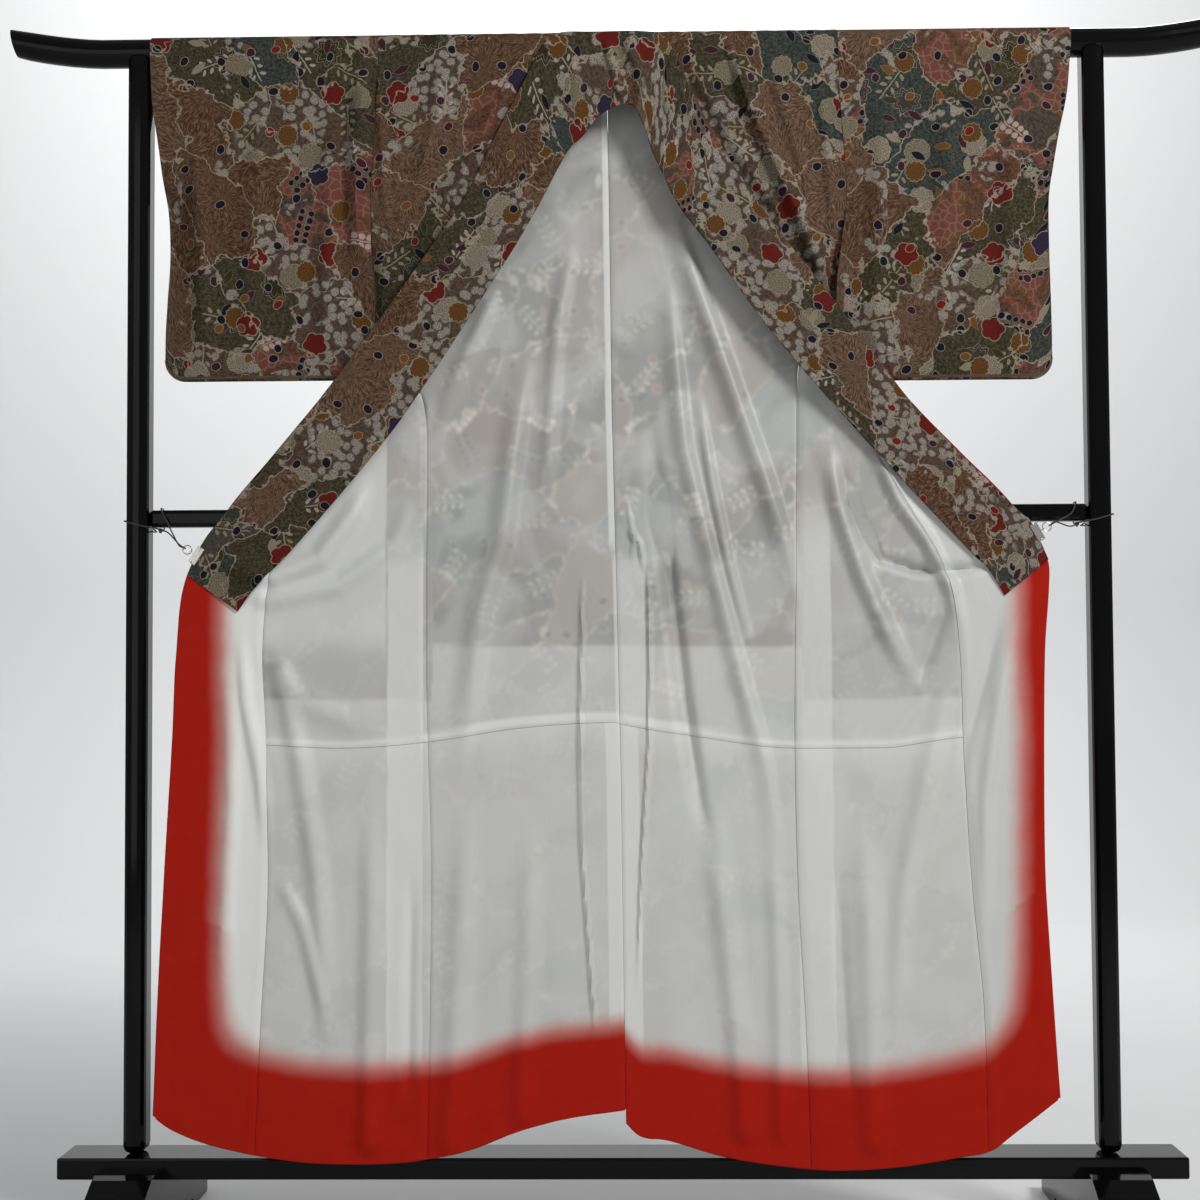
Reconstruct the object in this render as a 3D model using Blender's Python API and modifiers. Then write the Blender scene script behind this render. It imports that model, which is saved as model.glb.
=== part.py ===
"""A komon kimono hung open on a black lacquered kimono rack.

The viewer stands at -Y and the rack runs along X. The rack's top rail goes through both sleeves. The fronts
are folded open and their collar ends are held out by two clips tied to the posts, so the silk lining shows.
Metres, +Z up, floor at z = 0.
"""

import math
from collections import namedtuple

import bmesh
import bpy
from mathutils import Vector

COLLECTION_NAME = "komon_kimono_on_rack"
SIDES = {"left": -1, "right": 1}

# Rack
RAIL_RADIUS = 0.0205
RAIL_HEIGHT = 1.6833
RAIL_HALF_LENGTH = 0.8635
RAIL_STRAIGHT_HALF = 0.735
RAIL_TIP_RISE = 0.017
RAIL_TIP_SLANT = 0.42
RAIL_TIP_CURVE = 1.6
RAIL_SLANT_CURVE = 6
RAIL_TIP_STEPS = 7
RAIL_SIDES = 24
POST_OFFSET = 0.6796
POST_WIDTH = 0.032
POST_DEPTH = 0.050
POST_CORNER = 0.012
POST_TOP_DROP = 0.004
SADDLE_SIDES = 48
MID_RAIL_HEIGHT = 1.0110
MID_RAIL_SECTION = 0.025
MID_RAIL_CORNER = 0.006
PLANK_LENGTH = 1.5614
PLANK_DEPTH = 0.0903
PLANK_THICKNESS = 0.0297
PLANK_TOP = 0.120
PLANK_EDGE = 0.003
FOOT_WIDTH = 0.082
FOOT_EDGE = 0.005
FIT = 0.0003

# Cloth walls and the way they lie on each other
OUTER_WALL = 0.0012
LINING_WALL = 0.0010
COLLAR_WALL = 0.0020
HALF_GAP = 0.00015
SEAM_INSET = 0.00025
LAYER_STEP = 0.0030
SIDE_OVERLAP = 0.0020
DRAPE_RADIUS = 0.0211
ARC_STEP = math.radians(22.5)
NECK_HALF_WIDTH = 0.100
NECK_ARC = ARC_STEP
TURN_RADIUS = 0.0025
HEM_LEVEL = 0.12
HEM_BLEND_TOP = 0.78
WAIST_SEAM = 0.70
LINING_TOP = 1.662
OKUMI_TOP = 1.22
FRONT_LINING_TOP = {"left": 1.28, "right": 1.22}
ARMHOLE_BOTTOM = 1.46
SEAM_JOIN = 1.34

# How finely the cloth is divided: points across a front, its fold and a back, and the heights of their rows
FRONT_COLUMNS = 9
TURN_AT = 3
TURN_LIFT = 0.3
BACK_COLUMNS = 4
OKUMI_COLUMNS = 4
FRONT_HEIGHTS = (0.12, 0.24, 0.37, 0.50, 0.60, 0.70, 0.82, 0.93, 1.02, 1.10, 1.17,
                 1.22, 1.28, 1.34, 1.42, 1.47, 1.56, 1.64)
BACK_HEIGHTS = (1.64, 1.56, 1.47, 1.40, 1.34, 1.28, 1.22, 1.17, 1.03, 0.99, 0.85, 0.70, 0.60, 0.50, 0.37,
                0.24, 0.12)
SLEEVE_HEIGHTS = (1.62, 1.55, 1.475, 1.44, 1.38, 1.31, 1.25)

# How far forward of the rail's middle the back hangs: it touches the mid rail and the plank's front
Depth = namedtuple("Depth", "height forward")
BACK_HANG = (
    Depth(RAIL_HEIGHT, -DRAPE_RADIUS),
    Depth(1.03, 0.0145),
    Depth(0.99, 0.0165),
    Depth(HEM_LEVEL, 0.0485),
)

# Front edge, okumi seam and diagonal fold of each front, as distances out from the middle
FrontRow = namedtuple("FrontRow", "height side fold seam edge edge_forward")
LEFT_FRONT = (
    FrontRow(1.683, 0.336, None, 0.104, 0.104, 0.0211),
    FrontRow(1.640, 0.337, None, 0.123, 0.123, 0.0214),
    FrontRow(1.560, 0.340, None, 0.165, 0.165, 0.0230),
    FrontRow(1.470, 0.345, None, 0.209, 0.209, 0.0250),
    FrontRow(1.445, 0.344, None, 0.224, 0.224, 0.0265),
    FrontRow(1.420, 0.346, 0.222, 0.241, 0.241, 0.0280),
    FrontRow(1.340, 0.342, 0.238, 0.297, 0.297, 0.0290),
    FrontRow(1.280, 0.338, 0.245, 0.341, 0.341, 0.0290),
    FrontRow(1.220, 0.298, 0.262, 0.372, 0.386, 0.0290),
    FrontRow(1.170, 0.272, None, 0.392, 0.4235, 0.0285),
    FrontRow(1.100, 0.268, None, 0.425, 0.4825, 0.0280),
    FrontRow(1.020, 0.268, None, 0.462, 0.5495, 0.0270),
    FrontRow(0.930, 0.269, None, 0.487, 0.6035, 0.0290),
    FrontRow(0.820, 0.269, None, 0.498, 0.618, 0.0320),
    FrontRow(0.700, 0.266, None, 0.4925, 0.6225, 0.0350),
    FrontRow(0.500, 0.261, None, 0.488, 0.631, 0.0420),
    FrontRow(0.300, 0.2625, None, 0.4965, 0.6385, 0.0490),
    FrontRow(0.120, 0.266, None, 0.5035, 0.643, 0.0550),
)
RIGHT_FRONT = (
    FrontRow(1.683, 0.318, None, 0.083, 0.083, 0.0211),
    FrontRow(1.640, 0.319, None, 0.097, 0.097, 0.0214),
    FrontRow(1.560, 0.323, None, 0.139, 0.139, 0.0230),
    FrontRow(1.470, 0.327, None, 0.193, 0.193, 0.0250),
    FrontRow(1.445, 0.321, None, 0.209, 0.209, 0.0265),
    FrontRow(1.420, 0.321, 0.205, 0.225, 0.225, 0.0280),
    FrontRow(1.340, 0.313, 0.225, 0.287, 0.287, 0.0290),
    FrontRow(1.280, 0.296, 0.238, 0.331, 0.331, 0.0290),
    FrontRow(1.220, 0.259, None, 0.360, 0.375, 0.0290),
    FrontRow(1.170, 0.257, None, 0.358, 0.4125, 0.0285),
    FrontRow(1.100, 0.256, None, 0.367, 0.4785, 0.0280),
    FrontRow(1.020, 0.254, None, 0.411, 0.555, 0.0270),
    FrontRow(0.930, 0.253, None, 0.459, 0.603, 0.0290),
    FrontRow(0.820, 0.250, None, 0.478, 0.595, 0.0320),
    FrontRow(0.700, 0.248, None, 0.4807, 0.5915, 0.0350),
    FrontRow(0.500, 0.250, None, 0.4885, 0.5885, 0.0420),
    FrontRow(0.300, 0.259, None, 0.503, 0.5945, 0.0490),
    FrontRow(0.120, 0.2636, None, 0.5045, 0.602, 0.0550),
)
FRONT = {"left": LEFT_FRONT, "right": RIGHT_FRONT}

# Where the centre back seam runs, in x
Seam = namedtuple("Seam", "height x")
CENTRE_SEAM = (
    Seam(1.71, -0.012),
    Seam(1.465, -0.008),
    Seam(1.17, -0.0055),
    Seam(0.89, 0.0002),
    Seam(0.61, 0.0048),
    Seam(0.12, 0.0085),
)

# The hem's height by the distance out from the middle
Hem = namedtuple("Hem", "out height")
HEM = {
    "left": (
        Hem(-0.012, 0.188),
        Hem(0.078, 0.1747),
        Hem(0.137, 0.1592),
        Hem(0.2106, 0.1318),
        Hem(0.263, 0.1211),
        Hem(0.350, 0.1147),
        Hem(0.431, 0.1172),
        Hem(0.510, 0.1286),
        Hem(0.579, 0.1460),
        Hem(0.625, 0.1665),
        Hem(0.650, 0.1860),
    ),
    "right": (
        Hem(0.006, 0.173),
        Hem(0.031, 0.1504),
        Hem(0.062, 0.1469),
        Hem(0.1386, 0.1248),
        Hem(0.2436, 0.1086),
        Hem(0.298, 0.1058),
        Hem(0.385, 0.1108),
        Hem(0.4726, 0.125),
        Hem(0.507, 0.1318),
        Hem(0.5388, 0.1552),
        Hem(0.605, 0.206),
    ),
}

# Soft standing folds of the hanging cloth: they run down and swing out, and come forward only
Fold = namedtuple("Fold", "top_x foot_x top foot width forward")
FOLDS = (
    Fold(-0.150, -0.185, 1.50, 0.12, 0.045, 0.007),
    Fold(-0.050, -0.075, 1.10, 0.12, 0.030, 0.006),
    Fold(0.075, 0.105, 1.45, 0.12, 0.040, 0.008),
    Fold(0.160, 0.200, 1.30, 0.12, 0.035, 0.006),
    Fold(-0.330, -0.370, 0.98, 0.12, 0.045, 0.010),
    Fold(0.330, 0.375, 1.02, 0.12, 0.045, 0.011),
    Fold(-0.480, -0.540, 0.90, 0.12, 0.035, 0.007),
    Fold(0.500, 0.545, 0.88, 0.12, 0.030, 0.006),
)
FOLD_RISE = 1.6

# Sleeves
Cuff = namedtuple("Cuff", "height seam tip")
SLEEVE = {
    "left": (
        Cuff(1.683, 0.336, 0.6635),
        Cuff(1.606, 0.338, 0.6595),
        Cuff(1.534, 0.343, 0.6492),
        Cuff(1.462, 0.347, 0.6403),
        Cuff(1.391, 0.346, 0.6371),
        Cuff(1.319, 0.342, 0.6411),
        Cuff(1.262, 0.342, 0.6437),
        Cuff(1.206, 0.342, 0.6437),
    ),
    "right": (
        Cuff(1.683, 0.318, 0.6482),
        Cuff(1.606, 0.3205, 0.6410),
        Cuff(1.534, 0.325, 0.6260),
        Cuff(1.462, 0.3285, 0.6165),
        Cuff(1.391, 0.3200, 0.6167),
        Cuff(1.319, 0.3130, 0.6180),
        Cuff(1.262, 0.3130, 0.6187),
        Cuff(1.206, 0.3130, 0.6187),
    ),
}
SLEEVE_BOTTOM = {"left": 1.2085, "right": 1.2020}
SLEEVE_CORNER = 0.030
SLEEVE_CORNER_INSET = 0.0073
SLEEVE_FOOT_HALF = 0.0050
SLEEVE_FOOT_CURVE = 4
SLEEVE_CLOSED_HALF = 0.0002
SLEEVE_COLUMNS = (0.0, 0.22, 0.45, 0.68, 0.86, 0.95, 1.0)
SLEEVE_LOWEST_ROW = 1.22
SLEEVE_FOOT_MARGIN = 0.012
FOOT_TURNS = (math.radians(30), math.radians(90), math.radians(150))

# The cuff's mouth ends here; the outer edge below it is sewn shut over these shares and heights
MOUTH_BOTTOM = 1.50
MOUTH_CLOSING = 0.055
SHUT_FROM = 0.80
SHUT_WIDTH = 0.20

# The collar band from its left end over the rail to its right end. A drop is the way along the cloth from
# the rail's top line, so that a drop under a quarter turn lies on the rail's curve.
Station = namedtuple("Station", "out_x out_drop in_x in_drop lift")
COLLAR = (
    Station(-0.6040, 0.787, -0.5330, 0.839, 0.000),
    Station(-0.5870, 0.748, -0.5080, 0.807, 0.001),
    Station(-0.5490, 0.696, -0.4570, 0.753, 0.002),
    Station(-0.4196, 0.541, -0.3330, 0.609, 0.003),
    Station(-0.3432, 0.440, -0.2560, 0.502, 0.003),
    Station(-0.2539, 0.315, -0.1680, 0.368, 0.003),
    Station(-0.2099, 0.249, -0.1200, 0.290, 0.003),
    Station(-0.1671, 0.161, -0.0800, 0.214, 0.003),
    Station(-0.1240, 0.078, -0.0630, 0.185, 0.003),
    Station(-0.1000, 0.032, -0.0450, 0.168, 0.003),
    Station(-0.0700, 0.012, -0.0280, 0.146, 0.003),
    Station(-0.0350, 0.010, -0.0150, 0.134, 0.003),
    Station(0.0050, 0.010, 0.0060, 0.124, 0.003),
    Station(0.0400, 0.012, 0.0260, 0.126, 0.006),
    Station(0.0700, 0.022, 0.0420, 0.155, 0.008),
    Station(0.0900, 0.055, 0.0530, 0.190, 0.006),
    Station(0.1120, 0.107, 0.0660, 0.218, 0.004),
    Station(0.1593, 0.195, 0.0900, 0.268, 0.003),
    Station(0.2232, 0.294, 0.1380, 0.334, 0.003),
    Station(0.3078, 0.405, 0.2220, 0.453, 0.003),
    Station(0.4139, 0.549, 0.3510, 0.605, 0.003),
    Station(0.5555, 0.697, 0.4900, 0.757, 0.002),
    Station(0.5790, 0.719, 0.5170, 0.783, 0.001),
    Station(0.6031, 0.773, 0.5412, 0.823, 0.000),
)
COLLAR_COLUMNS = (0.0, 0.08, 0.16, 0.25, 0.36, 0.55, 0.77, 1.0)
COLLAR_STEPS = 2
COLLAR_BACK = 0.0019
COLLAR_ROLL = 1.2

# Colours, roughness and metallic
Finish = namedtuple("Finish", "colour roughness metallic")
FINISHES = {
    "komon_silk": Finish((0.235, 0.145, 0.095), 0.85, 0.0),
    "lining_silk": Finish((0.72, 0.72, 0.69), 0.42, 0.0),
    "hakkake_white": Finish((0.74, 0.73, 0.69), 0.45, 0.0),
    "hakkake_red": Finish((0.50, 0.035, 0.022), 0.50, 0.0),
    "black_lacquer": Finish((0.006, 0.006, 0.007), 0.12, 0.0),
    "clip_steel": Finish((0.62, 0.60, 0.52), 0.28, 1.0),
    "black_cord": Finish((0.012, 0.012, 0.014), 0.80, 0.0),
}

# Feet: half of the side profile, from the middle of the top to the toe and back under
FootPoint = namedtuple("FootPoint", "out height")
FOOT_TOP = (
    FootPoint(0.000, 0.1035),
    FootPoint(0.062, 0.1035),
    FootPoint(0.085, 0.0990),
    FootPoint(0.120, 0.0830),
    FootPoint(0.165, 0.0600),
    FootPoint(0.215, 0.0420),
    FootPoint(0.255, 0.0345),
    FootPoint(0.272, 0.0290),
    FootPoint(0.280, 0.0180),
    FootPoint(0.280, 0.0040),
    FootPoint(0.276, 0.0000),
)
FOOT_UNDER = (
    FootPoint(0.190, 0.0000),
    FootPoint(0.184, 0.0090),
    FootPoint(0.170, 0.0140),
    FootPoint(0.158, 0.0090),
    FootPoint(0.140, 0.0120),
    FootPoint(0.080, 0.0180),
    FootPoint(0.000, 0.0195),
)

# Clips that hold the collar's ends, with their rings, placed by distance out, height and slant
Clip = namedtuple("Clip", "out height turn forward")
CLIPS = {
    "left": Clip(0.5925, 0.9570, math.radians(33), 0.0297),
    "right": Clip(0.5890, 0.9820, math.radians(28.6), 0.0291),
}
CLIP_LENGTH = 0.026
CLIP_REACH = 0.006
CLIP_SPINE = 0.0035
CLIP_SHEET = 0.0010
CLIP_HALF_OPENING = 0.0031
LUG_LENGTH = 0.0065
LUG_WIDTH = 0.0060
LUG_SHEET = 0.0012
LUG_HOLE_RADIUS = 0.0022
HOLE_SIDES = 12
RING_RADIUS = 0.0062
RING_WIRE = 0.0009
RING_TURNS = 20
RING_SIDES = 8

# The black cords that tie the rings: round the mid rail beside the post, then round the post
CORD_RADIUS = 0.0010
CORD_STEP = 0.0052
CURVE_PARTS = 12

# The cord's way round the ring's wire, outwards and forwards, in steps of the room both need side by side
RING_PASS = ((4.0, -1.5), (0.0, -1.5), (-1.3, 0.0), (0.0, 1.5), (4.0, 1.5))
CordPoint = namedtuple("CordPoint", "out forward height")
CORD_TO_RING = (
    CordPoint(0.6465, 0.0150, 0.9935),
    CordPoint(0.6350, 0.0195, 0.9905),
)
CORD_FROM_RING = (
    CordPoint(0.6370, 0.0215, 1.0080),
    CordPoint(0.6450, 0.0148, 1.0215),
    CordPoint(0.6468, 0.0095, 1.0254),
    CordPoint(0.6475, -0.0090, 1.0254),
    CordPoint(0.6475, -0.0144, 1.0205),
    CordPoint(0.6475, -0.0144, 1.0020),
    CordPoint(0.6475, -0.0090, 0.9966),
    CordPoint(0.6480, 0.0090, 0.9964),
    CordPoint(0.6500, 0.0180, 0.9960),
    CordPoint(0.6590, 0.0258, 0.9975),
    CordPoint(0.6680, 0.0270, 0.9990),
    CordPoint(0.6800, 0.0268, 1.0020),
    CordPoint(0.6900, 0.0266, 1.0050),
    CordPoint(0.6966, 0.0210, 1.0070),
    CordPoint(0.6972, 0.0100, 1.0080),
    CordPoint(0.6972, -0.0160, 1.0080),
    CordPoint(0.6930, -0.0255, 1.0070),
    CordPoint(0.6800, -0.0268, 1.0030),
    CordPoint(0.6660, -0.0262, 0.9985),
    CordPoint(0.6606, -0.0180, 0.9950),
    CordPoint(0.6600, 0.0000, 0.9928),
    CordPoint(0.6560, 0.0120, 0.9920),
    CordPoint(0.6510, 0.0185, 0.9915),
)


def clear_scene():
    """Remove every object that Blender starts with."""
    for obj in list(bpy.data.objects):
        bpy.data.objects.remove(obj, do_unlink=True)


def make_collection(name):
    """Return a new collection linked to the scene."""
    collection = bpy.data.collections.new(name)
    bpy.context.scene.collection.children.link(collection)
    return collection


def make_materials():
    """Return one Principled material for each finish."""
    materials = {}
    for name, finish in FINISHES.items():
        material = bpy.data.materials.new(name)
        material.use_nodes = True
        shader = material.node_tree.nodes["Principled BSDF"]
        shader.inputs["Base Color"].default_value = (*finish.colour, 1.0)
        shader.inputs["Roughness"].default_value = finish.roughness
        shader.inputs["Metallic"].default_value = finish.metallic
        material.diffuse_color = (*finish.colour, 1.0)
        materials[name] = material
    return materials


def interpolate(table, key, value, field):
    """Read one column of a table between its rows; the key column may rise or fall."""
    rows = sorted(table, key=lambda row: getattr(row, key))
    if value <= getattr(rows[0], key):
        return getattr(rows[0], field)
    for low, high in zip(rows, rows[1:]):
        start = getattr(low, key)
        end = getattr(high, key)
        if value <= end:
            share = (value - start) / (end - start)
            return getattr(low, field) + share * (getattr(high, field) - getattr(low, field))
    return getattr(rows[-1], field)


def smooth(share):
    """Ease from 0 to 1."""
    share = min(max(share, 0.0), 1.0)
    return share * share * (3 - 2 * share)


def mix(start, end, share):
    """Return the value a share of the way from start to end."""
    return start + (end - start) * share


def object_from_bmesh(name, bm, material, collection):
    """Turn a bmesh into a smooth shaded object with outward faces."""
    bmesh.ops.recalc_face_normals(bm, faces=bm.faces)
    for face in bm.faces:
        face.smooth = True
    mesh = bpy.data.meshes.new(name)
    bm.to_mesh(mesh)
    bm.free()
    mesh.materials.append(material)
    obj = bpy.data.objects.new(name, mesh)
    collection.objects.link(obj)
    return obj


def cloth_wall(name, grid, near, far, material, collection):
    """Loft a wall of cloth through rows of points and normals.

    The grid maps (row, column) to a point and the cloth's outward normal there. A cell is filled where its
    four corners are in the grid, and both faces split it along the same diagonal, so that walls made from
    the same points lie flat on each other. Near and far are the wall's two faces, along the normal.
    """
    bm = bmesh.new()
    near_vertex = {}
    far_vertex = {}
    for key, (point, normal) in grid.items():
        near_vertex[key] = bm.verts.new(point + normal * near)
        far_vertex[key] = bm.verts.new(point + normal * far)
    edge_use = {}
    for row, column in grid:
        corners = [(row, column), (row + 1, column), (row + 1, column + 1), (row, column + 1)]
        if not all(corner in grid for corner in corners):
            continue
        for triangle in (corners[:3], corners[2:] + corners[:1]):
            bm.faces.new([far_vertex[corner] for corner in triangle])
            bm.faces.new([near_vertex[corner] for corner in reversed(triangle)])
        for start, end in zip(corners, corners[1:] + corners[:1]):
            edge_use.setdefault(frozenset((start, end)), []).append((start, end))
    for uses in edge_use.values():
        if len(uses) == 1:
            start, end = uses[0]
            bm.faces.new([far_vertex[end], far_vertex[start], near_vertex[start], near_vertex[end]])
    return object_from_bmesh(name, bm, material, collection)


def fold_forward(x, height):
    """Return how far the soft folds bring the cloth forward at a place."""
    total = 0.0
    for fold in FOLDS:
        down = (fold.top - height) / (fold.top - fold.foot)
        if down <= 0:
            continue
        middle = mix(fold.top_x, fold.foot_x, down)
        across = abs(x - middle) / fold.width
        if across < 1:
            total += fold.forward * smooth(down * FOLD_RISE) * (1 - smooth(across))
    return total


def back_forward(height):
    """Return how far forward the back hangs at a height, folds left out."""
    return interpolate(BACK_HANG, "height", height, "forward")


def hem_shifted(side, out, height):
    """Move a row's height by the hem's curve, fully at the hem and less above."""
    share = (HEM_BLEND_TOP - height) / (HEM_BLEND_TOP - HEM_LEVEL)
    share = min(max(share, 0.0), 1.0)
    hem = interpolate(HEM[side], "out", out, "height")
    return height + (hem - HEM_LEVEL) * share


def side_forward(height):
    """Return how far forward a front's side edge lies: on the rail above, on the side seam below."""
    on_seam = back_forward(height) + LAYER_STEP
    share = smooth((height - SEAM_JOIN) / (ARMHOLE_BOTTOM - SEAM_JOIN))
    return mix(on_seam, DRAPE_RADIUS, share)


def shares(count):
    """Return evenly spaced shares from 0 to 1."""
    return [index / (count - 1) for index in range(count)]


def front_value(side, height, field):
    """Read one column of a front's table."""
    return interpolate(FRONT[side], "height", height, field)


def front_fold(side, height):
    """Return where the diagonal fold lies at a height, or None where there is none."""
    rows = [row for row in FRONT[side] if row.fold is not None]
    if not rows[-1].height <= height <= rows[0].height:
        return None
    return interpolate(rows, "height", height, "fold")


def front_section(side, height):
    """Return the (out, forward) points of a front at one height, from its side edge to its inner edge."""
    start = front_value(side, height, "side") - SEAM_INSET
    if height < SEAM_JOIN and front_fold(side, height) is None:
        start -= SIDE_OVERLAP
    seam = front_value(side, height, "seam")
    edge = front_value(side, height, "edge")
    edge_forward = front_value(side, height, "edge_forward")
    begin = side_forward(height)
    fold = front_fold(side, height)
    if fold is None:
        inset = SEAM_INSET if seam > start else -SEAM_INSET
        points = []
        for share in shares(FRONT_COLUMNS):
            out = mix(start, seam - inset, share)
            way = (out - start) / (edge - start)
            points.append((out, mix(begin, edge_forward, way)))
        return points
    turn_forward = begin + TURN_LIFT * (edge_forward - begin)
    points = []
    for share in shares(TURN_AT):
        points.append((mix(start, fold + TURN_RADIUS, share), mix(begin, turn_forward, share)))
    points.append((fold, turn_forward + TURN_RADIUS))
    last = seam - SEAM_INSET
    after_turn = turn_forward + 2 * TURN_RADIUS
    for share in shares(FRONT_COLUMNS - TURN_AT - 1):
        out = mix(fold + TURN_RADIUS, last, share)
        points.append((out, mix(after_turn, max(edge_forward, after_turn), share)))
    return points


def okumi_section(side, height):
    """Return the (out, forward) points of an okumi at one height, from its seam to its front edge."""
    start = front_value(side, height, "side") - SEAM_INSET
    seam = front_value(side, height, "seam") + SEAM_INSET
    edge = front_value(side, height, "edge")
    edge_forward = front_value(side, height, "edge_forward")
    points = []
    for share in shares(OKUMI_COLUMNS):
        out = mix(seam, edge, share)
        way = (out - start) / (edge - start)
        points.append((out, mix(side_forward(height), edge_forward, way)))
    return points


def back_section(side, height):
    """Return the (out, forward) points of a back at one height, from its side edge to the centre seam."""
    sign = SIDES[side]
    start = front_value(side, height, "side") - SEAM_INSET
    centre = sign * interpolate(CENTRE_SEAM, "height", height, "x") + SEAM_INSET
    forward = back_forward(height)
    outs = [mix(start, NECK_HALF_WIDTH, share) for share in shares(FRONT_COLUMNS)]
    outs += [mix(NECK_HALF_WIDTH, centre, share) for share in shares(BACK_COLUMNS)[1:]]
    return [(out, forward) for out in outs]


def section_row(side, points, height, facing, with_folds):
    """Turn a section into points in space and the outward normals of the cloth.

    Facing is 1 where a section that runs inwards shows its outer cloth to the viewer, and -1 where it
    shows its lining.
    """
    sign = SIDES[side]
    placed = []
    for out, forward in points:
        lift = fold_forward(sign * out, height) if with_folds else 0.0
        placed.append((out, forward + lift))
    row = []
    for index, (out, forward) in enumerate(placed):
        before = placed[max(index - 1, 0)]
        after = placed[min(index + 1, len(placed) - 1)]
        along = Vector((after[0] - before[0], after[1] - before[1]))
        along.normalize()
        normal = Vector((sign * along.y, along.x, 0.0)) * facing
        row.append((Vector((sign * out, -forward, hem_shifted(side, out, height))), normal))
    return row


def arc_row(side, angle, outs, radius):
    """Return a row of cloth that lies over the rail, with the angle counted from its top to the front."""
    sign = SIDES[side]
    normal = Vector((0.0, -math.sin(angle), math.cos(angle)))
    centre = Vector((0.0, 0.0, RAIL_HEIGHT))
    return [(centre + Vector((sign * out, 0.0, 0.0)) + normal * radius, normal) for out in outs]


def grid_from_rows(rows):
    """Number the points of a list of rows, leaving out the places that hold None."""
    grid = {}
    for index, row in enumerate(rows):
        for column, entry in enumerate(row):
            if entry is not None:
                grid[(index, column)] = entry
    return grid


def body_panel(side, material, collection):
    """Build one body length: a front, the shoulder over the rail and half of the back, cut as one cloth."""
    rows = [section_row(side, front_section(side, height), height, 1, True) for height in FRONT_HEIGHTS]
    shoulder = front_value(side, RAIL_HEIGHT, "side") - SEAM_INSET
    neck = front_value(side, RAIL_HEIGHT, "seam")
    centre = SIDES[side] * CENTRE_SEAM[0].x + SEAM_INSET
    angle = math.pi / 2
    while angle > -math.pi / 2 - 0.01:
        inner = mix(neck, NECK_HALF_WIDTH, smooth((math.pi / 2 - angle) / (math.pi / 4)))
        outs = [mix(shoulder, inner, share) for share in shares(FRONT_COLUMNS)]
        if angle < NECK_ARC + 0.01:
            outs += [mix(inner, centre, share) for share in shares(BACK_COLUMNS)[1:]]
        rows.append(arc_row(side, angle, outs, DRAPE_RADIUS))
        angle -= ARC_STEP
    rows += [section_row(side, back_section(side, height), height, -1, True) for height in BACK_HEIGHTS]
    grid = grid_from_rows(rows)
    cloth_wall(f"body_{side}", grid, HALF_GAP, HALF_GAP + OUTER_WALL, material, collection)


def lining_piece(name, rows, material, collection):
    """Build one lining piece on the inner face of the outer cloth whose rows it takes."""
    cloth_wall(name, grid_from_rows(rows), -HALF_GAP - LINING_WALL, -HALF_GAP, material, collection)


def seam_heights(heights, low, high):
    """Return the heights between two seams, with both ends drawn in by the seam gap."""
    inner = [height for height in heights if low < height < high]
    return sorted([low + SEAM_INSET, *inner, high - SEAM_INSET])


def back_rows(side, low, high):
    """Return the rows of a back between two heights, downwards as the body length has them."""
    heights = reversed(seam_heights(BACK_HEIGHTS, low, high))
    return [section_row(side, back_section(side, height), height, -1, True) for height in heights]


def front_rows(side, low, high):
    """Return the rows of a front between two heights, without the points before its diagonal fold."""
    rows = []
    for height in seam_heights(FRONT_HEIGHTS, low, high):
        row = section_row(side, front_section(side, height), height, 1, True)
        if front_fold(side, height) is not None:
            row = [None] * (TURN_AT + 1) + row[TURN_AT + 1:]
        rows.append(row)
    return rows


def okumi_rows(side):
    """Return the rows of an okumi from the hem to its point on the collar seam."""
    heights = seam_heights(FRONT_HEIGHTS, HEM_LEVEL, OKUMI_TOP)
    return [section_row(side, okumi_section(side, height), height, 1, True) for height in heights]


def linings(side, materials, collection):
    """Build the silk lining and the hem lining where the open garment shows them."""
    upper = materials["lining_silk"]
    lower = materials["hakkake_white"]
    lining_piece(f"lining_back_{side}", back_rows(side, WAIST_SEAM, LINING_TOP), upper, collection)
    lining_piece(f"hakkake_back_{side}", back_rows(side, HEM_LEVEL, WAIST_SEAM), lower, collection)
    top = FRONT_LINING_TOP[side]
    lining_piece(f"lining_front_{side}", front_rows(side, WAIST_SEAM, top), upper, collection)
    lining_piece(f"hakkake_front_{side}", front_rows(side, HEM_LEVEL, WAIST_SEAM), lower, collection)
    lining_piece(f"hakkake_okumi_{side}", okumi_rows(side), materials["hakkake_red"], collection)


def okumi_panel(side, material, collection):
    """Build one okumi, the narrow panel between a front and its front edge."""
    grid = grid_from_rows(okumi_rows(side))
    cloth_wall(f"okumi_{side}", grid, HALF_GAP, HALF_GAP + OUTER_WALL, material, collection)


def sleeve_value(side, height, field):
    """Read one column of a sleeve's table."""
    return interpolate(SLEEVE[side], "height", height, field)


def sleeve_foot(side, share):
    """Return the height of a sleeve's bottom edge, with its rounded outer corner."""
    tip = sleeve_value(side, SLEEVE_BOTTOM[side], "tip")
    seam = sleeve_value(side, SLEEVE_BOTTOM[side], "seam")
    from_tip = (tip - seam) * (1 - share)
    if from_tip >= SLEEVE_CORNER:
        return SLEEVE_BOTTOM[side]
    along = SLEEVE_CORNER - from_tip
    return SLEEVE_BOTTOM[side] + SLEEVE_CORNER - math.sqrt(SLEEVE_CORNER ** 2 - along ** 2)


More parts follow.
